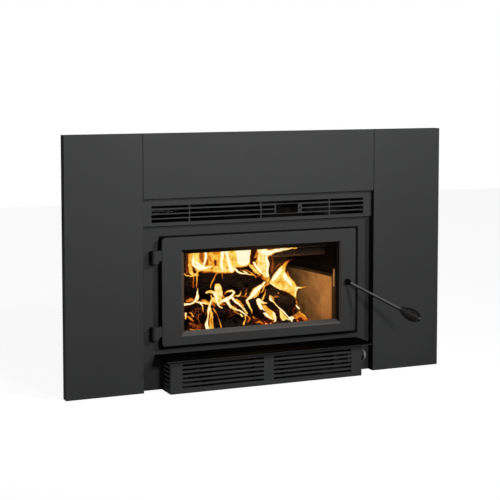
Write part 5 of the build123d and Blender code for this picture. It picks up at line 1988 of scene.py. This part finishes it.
UPPER = Sheet("upper", 183.0, 297.0, 245.0, 288.0, ((262.0, 0.094), (272.0, 0.192), (288.0, 0.186)), (
    # The bodies of the curtain of flame, from left to right.
    Lick(At(186.6, 250, 2.0, 0.24), At(186.8, 262, 2.0, 0.20), At(187.2, 273, 2.2, 0.26), soft=0.9),
    Lick(At(190.4, 244, 2.6, 0.52), At(190.3, 258, 2.6, 0.56), At(190.6, 271, 2.6, 0.60), soft=0.6),
    Lick(At(196, 244, 4.6, 0.66), At(196, 258, 4.8, 0.68), At(198.5, 268, 4.4, 0.66), soft=0.5),
    Lick(At(204, 244, 7.0, 0.42), At(204, 256, 8.0, 0.44), At(205, 266, 6.6, 0.52), soft=0.4),
    Lick(At(214, 244, 7.4, 0.44), At(214, 256, 8.0, 0.54), At(213, 264, 8.0, 0.5), soft=0.35),
    Lick(At(225, 244, 7.0, 0.62), At(225, 258, 7.4, 0.64), At(224, 267, 6.8, 0.66), soft=0.35),
    Lick(At(204, 270.5, 3.0, 0.56), At(214, 269.5, 4.0, 0.62), At(224, 269, 4.8, 0.72),
         At(231, 269.6, 4.2, 0.7), soft=0.5),
    Lick(At(232.5, 244, 5.0, 0.66), At(232.8, 256, 5.0, 0.70), At(233, 265, 4.4, 0.66), soft=0.4),
    Lick(At(243, 244, 9.0, 1.02), At(243.2, 254, 8.6, 1.02), At(243, 259.6, 7.8, 0.98), soft=0.3),
    Lick(At(236, 263.6, 4.0, 0.68), At(242, 263.6, 4.4, 0.70), At(247.4, 262.4, 3.0, 0.68), soft=0.5),
    Lick(At(253, 246, 6.0, 0.6), At(254, 258, 5.0, 0.6), At(252.6, 264, 2.6, 0.6), soft=0.4),
    Lick(At(262.6, 244, 6.6, 0.72), At(262.6, 258, 6.2, 0.76), At(262.6, 267, 5.8, 0.78),
         At(266, 275, 3.4, 0.72), soft=0.4),
    # Cooler places in it.
    Lick(At(231.5, 251, 1.6), At(231.8, 252, 1.6), cool=0.25),
    Lick(At(232, 259.5, 1.4), At(232.2, 262.5, 1.4), cool=0.14),
    # Its pale streaks, with the dark gaps beside them.
    Lick(At(192.8, 255.5, 0.9, 0.78), At(193, 261, 1.5, 0.92), At(194.4, 265.4, 2.0, 0.98),
         At(198.6, 268, 2.3, 0.96), At(203.4, 268.4, 1.9, 0.95), At(208, 267.4, 1.6, 0.86),
         At(211.6, 266.4, 1.1, 0.72)),
    Lick(At(196.2, 262.6, 2.4, 0.84), At(199, 264.8, 2.8, 0.94), At(202, 266.4, 2.0, 0.92)),
    Lick(At(205.8, 244, 1.9, 0.95), At(205.7, 256, 1.7, 0.97), At(204.7, 261, 1.5, 0.96),
         At(203.2, 267.5, 1.7, 0.95)),
    Lick(At(200.8, 252, 2.2), At(201.6, 258, 1.8), At(202.6, 262, 0.9), cool=0.42),
    Lick(At(206.8, 260.4, 0.9), At(207, 264.4, 1.2), cool=0.45),
    Lick(At(208.6, 256, 0.8), At(211.4, 260.8, 1.1), At(213.6, 262.8, 0.8), cool=0.25),
    Lick(At(215.4, 261.4, 1.6), At(215.4, 264.8, 1.4), cool=0.72),
    Lick(At(212.2, 267.6, 1.0), At(212, 269.6, 0.9), cool=0.38),
    Lick(At(217.4, 252, 2.0), At(214, 252.4, 2.4), cool=0.22),
    Lick(At(222.6, 270.4, 2.4, 0.92), At(221.4, 264, 2.0, 0.98), At(221.8, 257, 2.1, 0.96),
         At(223.2, 251.6, 2.8, 0.94), At(224, 244, 3.0, 0.92)),
    Lick(At(231.2, 270.4, 3.0, 0.94), At(229.2, 264, 2.6, 0.99), At(227.8, 258, 2.3, 0.98),
         At(226.4, 252, 2.8, 0.96), At(226, 244, 2.8, 0.92)),
    Lick(At(224.3, 256, 0.8), At(224.4, 263, 0.9), cool=0.18),
    Lick(At(226.6, 267.9, 0.9), At(227.2, 268.7, 0.8), cool=0.4),
    Lick(At(202, 271.8, 1.0), At(208, 272.4, 1.2), At(213, 272, 0.8), cool=0.4),
    # The dark gap near its right end, and the flames beside that.
    Lick(At(254.4, 244, 4.3), At(254.2, 252, 4.3), At(253.2, 259, 3.7), At(251.8, 264.4, 1.3), soft=0.3,
         cool=0.95),
    Lick(At(256.8, 251.6, 1.1, 0.36), At(256.4, 255.4, 1.4, 0.42), At(254.6, 257, 1.0, 0.42)),
    Lick(At(257.4, 256, 0.7, 0.3), At(256.8, 260.5, 0.7, 0.3)),
    Lick(At(249.2, 263.4, 1.1, 0.55), At(251.6, 266.8, 1.6, 0.64), At(255, 270.6, 2.1, 0.74),
         At(259.5, 274, 1.3, 0.62)),
    Lick(At(253.9, 262.2, 1.1, 0.92), At(255.3, 265.4, 1.9, 1.02), At(258, 268.8, 2.0, 1.02),
         At(261.4, 272.6, 1.6, 0.94)),
    Lick(At(267.4, 252, 2.0, 0.96), At(266.4, 259, 1.7, 0.99), At(267.8, 264.6, 1.6, 1.02),
         At(267.2, 270, 1.6, 0.99), At(268.2, 276, 1.5, 0.93)),
    Lick(At(260.8, 256.6, 1.4), At(261.6, 258.6, 1.2), cool=0.12),
    Lick(At(261, 262, 1.4), At(261.4, 265, 1.6), cool=0.14),
    Lick(At(263.4, 271, 0.9), At(264.6, 270.4, 0.8), cool=0.3),
    # The long tongue to the right, and the faint flames under it.
    Lick(At(259, 251, 2.4, 0.82), At(264, 252.4, 3.4, 0.93), At(269, 253.2, 3.4, 0.97),
         At(274, 251.4, 2.3, 0.95), At(280, 250, 1.8, 0.93), At(286, 249.2, 1.4, 0.9),
         At(293, 248.2, 0.9, 0.7), At(300, 247.6, 0.7, 0.4)),
    Lick(At(271, 256, 1.8, 0.2), At(272.6, 262, 2.6, 0.22), At(272, 269, 2.6, 0.28),
         At(271.6, 273, 1.6, 0.3), soft=0.95),
    Lick(At(275, 268, 1.6, 0.26), At(279, 264.8, 1.6, 0.25), At(284, 261, 1.0, 0.16), soft=0.95),
    # The flames where the logs cross.
    Lick(At(257.4, 275.4, 1.4, 0.25), At(261.5, 276.2, 2.0, 0.3), At(266, 279, 2.6, 0.48),
         At(268.6, 282.6, 2.4, 0.54), At(265.8, 285, 1.6, 0.44)),
    Lick(At(259.4, 276.8, 1.0), At(260.6, 277.4, 1.0), cool=0.6),
    Lick(At(269.4, 278, 1.0, 0.7), At(267.4, 281.6, 1.2, 0.72)),
    # The thin flames along the back log's top.
    Lick(At(234, 268.4, 1.3, 0.92), At(236.6, 270, 1.4, 0.98), At(238.8, 272.2, 1.2, 0.93),
         At(243, 273.5, 1.0, 0.88), At(248, 274.2, 0.9, 0.84), At(252.6, 274.4, 0.6, 0.6)),
    Lick(At(243, 270.4, 0.8, 0.7), At(245.4, 272.1, 1.0, 0.85), At(247.6, 273.8, 0.9, 0.85)),
    Lick(At(241, 269.8, 0.6, 0.35), At(246, 270.2, 0.7, 0.4), At(252, 273, 0.9, 0.46),
         At(256.4, 277, 0.7, 0.4)),
    Lick(At(190.4, 271, 2.0, 0.58), At(193.4, 274.4, 2.0, 0.68), At(197, 274.6, 1.5, 0.55)),
    Lick(At(194.6, 272, 0.8), At(194.4, 274, 0.6), cool=0.45),
    Lick(At(184.6, 273.6, 0.6, 0.6), At(186.6, 275.2, 0.6, 0.62), At(191, 275.8, 0.8, 0.66),
         At(198.6, 275.6, 0.6, 0.55)),
    # The threads in front of the back log.
    Lick(At(193.8, 275, 0.9, 0.5), At(193.4, 281, 0.8, 0.36), At(193, 290, 0.9, 0.26)),
    Lick(At(197.2, 271, 0.9, 0.56), At(197.2, 279, 0.9, 0.58), At(196.4, 288, 0.8, 0.34)),
    Lick(At(190.4, 277, 1.0, 0.2), At(191, 286, 1.0, 0.14), soft=0.9),
    Lick(At(217, 272.2, 1.3, 0.46), At(215.4, 275.4, 0.8, 0.42), At(212.6, 280.4, 0.8, 0.5),
         At(211, 284.6, 0.7, 0.55), At(210.8, 290, 0.6, 0.5)),
    Lick(At(222, 273, 0.8, 0.45), At(222.4, 277, 0.8, 0.36), At(222.8, 281, 0.6, 0.15)),
))
RIGHT = Sheet("right", 264.0, 309.0, 256.0, 300.0, ((256.0, 0.092), (285.0, 0.1), (300.0, 0.1)), (
    # The bodies of the flame over the cross log.
    Lick(At(272.4, 282, 3.2, 0.66), At(276, 279, 4.4, 0.7), At(279.6, 274.4, 4.4, 0.72),
         At(282.4, 269.4, 3.3, 0.68), At(285, 264.6, 2.0, 0.5), At(288.6, 260.4, 1.0, 0.26), soft=0.5),
    Lick(At(273.6, 283.6, 2.6, 0.66), At(280, 285.8, 4.0, 0.68), At(286, 288, 4.2, 0.7),
         At(291.4, 291, 3.6, 0.66), At(294.6, 295.4, 1.8, 0.6), soft=0.5),
    Lick(At(279.6, 278, 3.4, 0.66), At(283.4, 282.6, 4.0, 0.62), At(287, 286, 3.6, 0.64), soft=0.5),
    Lick(At(283, 274, 3.4, 0.7), At(287.2, 279.4, 3.8, 0.72), At(291.6, 284, 4.0, 0.7),
         At(295, 288.5, 2.8, 0.68), soft=0.5),
    # Its pale hearts, its tips and its cooler places.
    Lick(At(272.6, 280, 1.8, 0.88), At(275.4, 276.2, 3.0, 1.04), At(279, 272, 2.8, 0.94),
         At(281.6, 267.6, 1.9, 0.8)),
    Lick(At(284.6, 273.6, 1.9, 0.88), At(285.6, 278, 2.7, 1.0), At(288.4, 281.8, 2.3, 0.94),
         At(291.4, 285, 1.8, 0.86)),
    Lick(At(296.2, 290.6, 1.2, 0.8), At(296.6, 288.4, 1.3, 0.88), At(299, 287.6, 1.0, 0.82),
         At(302.5, 287.2, 0.7, 0.6), At(306.6, 286.6, 0.5, 0.34)),
    Lick(At(295.8, 290, 1.0, 0.85), At(295.4, 293.4, 1.1, 0.82), At(295, 297.4, 0.8, 0.7)),
    Lick(At(280.4, 277.4, 1.3), At(280.8, 281, 1.5), At(283.4, 285.4, 2.0), cool=0.16),
    Lick(At(276, 282.4, 1.5), At(277.4, 283, 1.5), cool=0.12),
    Lick(At(290.6, 291.6, 1.8), At(293.2, 292, 1.4), cool=0.12),
    Lick(At(271, 283, 1.2, 0.78), At(275, 286.4, 1.2, 0.8), At(280, 289, 1.0, 0.74),
         At(286, 288.6, 1.0, 0.8)),
    Lick(At(286.6, 262.6, 1.2, 0.24), At(290, 260.4, 1.2, 0.2), At(294.4, 259.4, 0.8, 0.12), soft=0.95),
    Lick(At(287.6, 272, 1.2, 0.34), At(288.6, 277, 1.0, 0.4)),
), 0.36, 0.7)
MIDDLE_DEPTH = ((281.5, 0.17), (285.0, 0.165), (294.0, 0.13), (300.0, 0.09), (318.0, 0.082), (330.5, 0.072))
MIDDLE = Sheet("middle", 184.0, 309.0, 281.5, 330.5, MIDDLE_DEPTH, (
    # The flames at the front log's left end.
    Lick(At(197.6, 288.6, 0.5, 0.7), At(197.4, 294, 1.3, 0.96), At(196.6, 298.6, 2.0, 0.95),
         At(194.4, 302, 1.5, 0.9), At(190.4, 303.9, 1.1, 0.9), At(184, 304.2, 1.5, 0.92)),
    Lick(At(186.6, 301, 2.0, 0.34), At(190.6, 299.6, 2.6, 0.44), At(193, 300, 1.6, 0.5), soft=0.9),
    Lick(At(201.8, 300.6, 1.2, 0.4), At(204.6, 301, 1.5, 0.5), At(207.4, 302, 1.4, 0.48)),
    Lick(At(195, 302.2, 0.7, 0.8), At(198.8, 302.3, 1.1, 0.98), At(203, 303, 1.3, 0.8),
         At(209, 303.6, 1.8, 0.64)),
    Lick(At(200.4, 303.4, 0.9, 0.92), At(202.2, 306.6, 0.8, 0.78), At(203.4, 311.5, 0.5, 0.42)),
    # The tall flame in the middle, its arms and its foot.
    Lick(At(218, 286.4, 3.4, 0.74), At(218.4, 289, 4.1, 0.8), At(218.8, 294, 3.8, 0.78),
         At(219, 299, 2.8, 0.72), soft=0.3),
    Lick(At(212.8, 299.4, 2.2, 0.68), At(216, 301.4, 2.6, 0.64), At(219, 302, 1.6, 0.7), soft=0.5),
    Lick(At(213, 304, 2.2, 0.42), At(215, 306, 1.8, 0.34), soft=0.9),
    Lick(At(206.8, 292.4, 1.5, 0.88), At(210.4, 291.6, 1.9, 0.76), At(213.8, 293, 1.7, 0.9),
         At(216, 297, 1.6, 0.96), At(217.4, 301.6, 1.5, 0.93), At(219, 305.4, 1.3, 0.9),
         At(222, 307.4, 0.8, 0.75)),
    Lick(At(211, 295, 0.7, 0.6), At(211.8, 298.2, 0.8, 0.8)),
    Lick(At(213, 298.6, 1.6, 0.76), At(210.2, 304, 1.5, 0.84), At(209, 310, 1.6, 0.84),
         At(207.7, 316, 1.0, 0.85), At(207.2, 321, 1.2, 0.95), At(206.6, 325.5, 2.0, 1.04),
         At(207.8, 329, 2.5, 1.04)),
    Lick(At(210.4, 308.6, 1.5, 0.7), At(211.2, 313.6, 1.3, 0.62), At(210.4, 319, 1.4, 0.5),
         At(210.8, 324, 1.6, 0.6), At(211.6, 329, 2.2, 0.74)),
    Lick(At(212.4, 312.6, 0.8, 0.6), At(212.5, 318, 0.9, 0.52), At(213, 323, 1.0, 0.56),
         At(213.4, 328.8, 1.0, 0.6)),
    Lick(At(213.6, 308.6, 0.8, 0.5), At(215.4, 311.5, 0.8, 0.52), At(217.8, 316.4, 0.5, 0.34),
         At(219.5, 321, 0.7, 0.46), At(220.7, 325, 0.8, 0.55), At(221.4, 329, 0.8, 0.55)),
    # The curl to its right, and the flames that run down from it.
    Lick(At(219.4, 303.4, 1.5, 0.82), At(222.6, 300.7, 1.9, 0.9), At(226.4, 299.4, 2.4, 1.04),
         At(229.4, 297.4, 1.8, 1.0), At(232.2, 295, 1.6, 0.98), At(233.9, 292, 1.3, 0.92),
         At(231.8, 290.7, 1.1, 0.84), At(228.4, 291, 0.9, 0.76), At(226, 291.6, 0.7, 0.5)),
    Lick(At(225.4, 292.2, 1.1, 0.36), At(224.8, 294, 1.1, 0.3)),
    Lick(At(222.6, 295.4, 0.9, 0.42), At(223.2, 297.4, 1.0, 0.46)),
    Lick(At(221.6, 303.6, 1.5, 0.4), At(224.8, 304.2, 1.3, 0.32), soft=0.9),
    Lick(At(227.2, 300.6, 1.9, 0.98), At(229.2, 304.4, 1.6, 0.92), At(232, 307.5, 1.7, 0.8),
         At(236, 309.4, 1.2, 0.84), At(239.6, 310.8, 1.0, 0.88), At(243, 312.8, 0.9, 0.88),
         At(246.4, 315, 0.8, 0.8)),
    Lick(At(233.6, 310.6, 0.6, 0.5), At(236.4, 312.4, 0.5, 0.55), At(239.2, 313.8, 0.5, 0.5)),
    Lick(At(232, 297.4, 1.3, 0.86), At(235, 300.5, 1.5, 0.92), At(239, 304.3, 1.3, 0.94),
         At(243, 308.4, 1.3, 0.78), At(246.8, 313.2, 1.0, 0.72)),
    Lick(At(236.6, 299.4, 1.2, 0.6), At(239.6, 302, 1.2, 0.5), At(243.4, 305.8, 0.9, 0.46)),
    Lick(At(233.6, 296.6, 0.6, 0.5), At(236.4, 295.4, 0.9, 0.72), At(238.8, 296, 1.2, 0.92),
         At(240.3, 293.6, 0.9, 0.56), At(240.8, 291, 0.7, 0.36)),
    Lick(At(245.2, 296, 0.9, 0.42), At(245.8, 294.4, 1.0, 0.6), At(246.6, 293.6, 0.7, 0.42)),
    Lick(At(245.8, 291.8, 0.9, 0.3), At(247.2, 288, 0.6, 0.22)),
    Lick(At(242, 296.4, 0.8, 0.34), At(248, 297.4, 0.7, 0.34)),
    # The flames along the kindling.
    Lick(At(264.4, 282.6, 1.4, 0.86), At(260.6, 286.6, 2.1, 0.98), At(256.4, 290, 3.1, 1.04),
         At(253.4, 294, 3.0, 0.96), At(250, 297.6, 1.8, 0.94), At(247, 300, 1.2, 0.9)),
    Lick(At(259.6, 291, 1.0, 0.62), At(257.4, 294.6, 1.1, 0.62), At(254, 297.6, 0.8, 0.6)),
    Lick(At(264.4, 285.8, 1.0, 0.7), At(262.8, 290, 0.8, 0.52), At(261, 292.6, 0.6, 0.4)),
    Lick(At(246.8, 300, 0.9, 0.9), At(248, 302.6, 1.7, 0.8), At(249.8, 306.2, 1.3, 0.78),
         At(251, 309.6, 0.9, 0.72), At(252.4, 314, 0.7, 0.3)),
    Lick(At(257.4, 300, 1.9, 0.98), At(259.4, 304.4, 2.2, 0.98), At(262.4, 309, 1.9, 0.94),
         At(265.4, 313.4, 1.9, 1.0), At(269, 316.6, 1.7, 0.9), At(272.8, 318.8, 1.4, 0.8)),
    Lick(At(258.4, 299.4, 1.3, 0.92), At(262, 302.6, 1.8, 0.85), At(266.8, 302.8, 0.8, 0.68)),
    Lick(At(263.4, 306, 1.6, 0.58), At(267.4, 309.4, 2.6, 0.5), At(270, 313.4, 2.6, 0.62),
         At(272.6, 317, 2.2, 0.72), soft=0.5),
    Lick(At(270.8, 310.2, 1.0, 0.66), At(273.6, 313.4, 1.2, 0.84), At(275, 317, 1.1, 0.94),
         At(275, 320.5, 1.1, 0.94), At(274.6, 324.4, 0.9, 0.8)),
    Lick(At(265.6, 289.6, 0.9, 0.26), At(264.8, 293, 1.0, 0.42), At(263.6, 296.5, 1.3, 0.64),
         At(262.4, 300, 1.1, 0.74)),
    # The flames on the cross log.
    Lick(At(269.8, 296, 0.6, 0.7), At(270.4, 299.2, 1.4, 0.9), At(272.8, 301, 0.9, 0.78),
         At(276, 304.6, 0.7, 0.76), At(279.4, 308.2, 0.8, 0.88), At(283.6, 311.8, 1.1, 0.96),
         At(287.4, 315.6, 1.2, 1.02), At(290.4, 319, 1.3, 1.04), At(292.4, 320.8, 1.3, 1.04)),
    Lick(At(271.2, 296.8, 0.6, 0.66), At(273.8, 299.8, 0.6, 0.56)),
    Lick(At(280.4, 310.4, 0.8, 0.7), At(281.8, 314, 1.9, 0.72), At(283.4, 318, 3.2, 0.74),
         At(286, 322, 4.0, 0.72), soft=0.3),
    Lick(At(273.2, 298.4, 0.6, 0.42), At(276.4, 295.4, 0.8, 0.5), At(278.8, 293, 1.0, 0.54),
         At(279.8, 296.4, 0.7, 0.36)),
    Lick(At(276.6, 297, 1.4, 0.36), At(278, 296, 1.6, 0.42), soft=0.9),
    Lick(At(289, 319.2, 1.1, 0.98), At(291.6, 317.6, 1.4, 1.04), At(293.6, 318.8, 1.4, 1.0)),
    Lick(At(293.2, 316.6, 0.6, 0.6), At(297, 313.6, 0.5, 0.54), At(299.8, 310.6, 0.7, 0.62)),
    Lick(At(296.6, 305.2, 0.9, 0.76), At(298, 307, 1.2, 1.0), At(299.2, 308.4, 0.9, 0.8)),
    Lick(At(295.6, 297.4, 0.7, 0.4), At(296.8, 301.8, 0.8, 0.34), At(297.4, 304, 0.6, 0.4)),
    # The low flames round the embers.
    Lick(At(294.8, 319, 2.0, 0.36), At(299.2, 315.4, 2.4, 0.42), At(303, 317, 2.2, 0.4),
         At(305.8, 320, 1.6, 0.36), soft=0.6),
    Lick(At(299.4, 312.2, 0.9, 0.5), At(303.6, 314.8, 1.0, 0.48), At(307, 319, 0.8, 0.42)),
    Lick(At(299.4, 319.8, 1.8), At(301.4, 319.4, 1.4), cool=0.6),
    Lick(At(247.4, 316, 1.4, 0.32), At(249.8, 318.6, 1.4, 0.46), At(247.6, 322, 1.6, 0.3), soft=0.9),
    Lick(At(253.2, 317.4, 1.3, 0.42), At(255.4, 318.6, 1.0, 0.36)),
    Lick(At(256, 322.6, 1.2, 0.36), At(259.6, 322, 1.6, 0.46), At(263, 323.2, 1.0, 0.36), soft=0.9),
    Lick(At(245, 315.2, 0.6, 0.6), At(245.3, 319, 0.7, 0.62), At(244.4, 322.6, 0.8, 0.6),
         At(243.6, 326, 0.8, 0.56)),
    Lick(At(240.8, 314, 0.8, 0.84), At(242.4, 316.4, 0.8, 0.8)),
    Lick(At(185.4, 313.6, 1.2, 0.88), At(185.2, 319, 0.9, 0.6)),
    Lick(At(188.8, 312.8, 0.7, 0.42), At(191.6, 313.4, 0.8, 0.6), At(193.4, 316.4, 0.7, 0.52)),
    Lick(At(187.4, 317, 1.8, 0.3), At(190.2, 318.4, 1.5, 0.5), At(193.4, 320.8, 1.6, 0.36), soft=0.9),
    Lick(At(189.4, 323.6, 2.0, 0.26), At(194, 325.4, 2.6, 0.26), At(200.6, 327, 2.6, 0.24), soft=0.95),
    Lick(At(190, 329.4, 0.7, 0.4), At(197, 329.6, 0.7, 0.4), At(203.6, 329.4, 0.8, 0.42)),
    Lick(At(198, 315.6, 0.6, 0.3), At(198.6, 319.6, 0.6, 0.34), At(200, 323.4, 0.5, 0.26)),
))


class Fire:
    """The flames of the photograph, on three sheets, and the light that they throw."""

    FINISH = Flame("flame")
    GLOWS = (
        Glow("glow_left", (-0.11, 0.16, 0.31), 0.25),
        Glow("glow_middle", (0.0, 0.14, 0.30), 0.3),
        Glow("glow_right", (0.10, 0.10, 0.25), 0.42),
        Glow("glow_front", (0.17, 0.036, 0.22), 0.05, 0.012),
        Glow("glow_embers", (0.04, 0.085, 0.19), 0.15, 0.02, (1.0, 0.32, 0.08)),
    )

    def __init__(self, camera: Camera) -> None:
        """Keep the camera that the flames were traced with."""
        self.camera = camera

    def build(self) -> None:
        """Build the flames and their light."""
        finish = self.FINISH.material()
        for sheet in (UPPER, RIGHT, MIDDLE):
            sheet.build(self.camera, finish)
        for glow in self.GLOWS:
            glow.build()


# -------- the whole
def note_bounds(when: str, sizes: dict[str, list[list[float]]]) -> None:
    """Keep the shown object's box in a table, under when it was read."""
    low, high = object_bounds()
    sizes[when] = [[round(v, 6) for v in low], [round(v, 6) for v in high]]


def main() -> None:
    """Build the whole picture, piece by piece."""
    logging.basicConfig(level=logging.INFO, format="%(message)s")
    sizes: dict[str, list[list[float]]] = {}
    note_bounds("loaded", sizes)
    camera = Camera()
    Dressing().build()
    CoilGrip().build()
    DoorRope().build()
    GlassTape().build()
    Blanket().build()
    LogPile().build()
    Embers().build()
    Fire(camera).build()
    Studio().build()
    camera.build()
    note_bounds("finished", sizes)


if __name__ == "__main__":
    main()
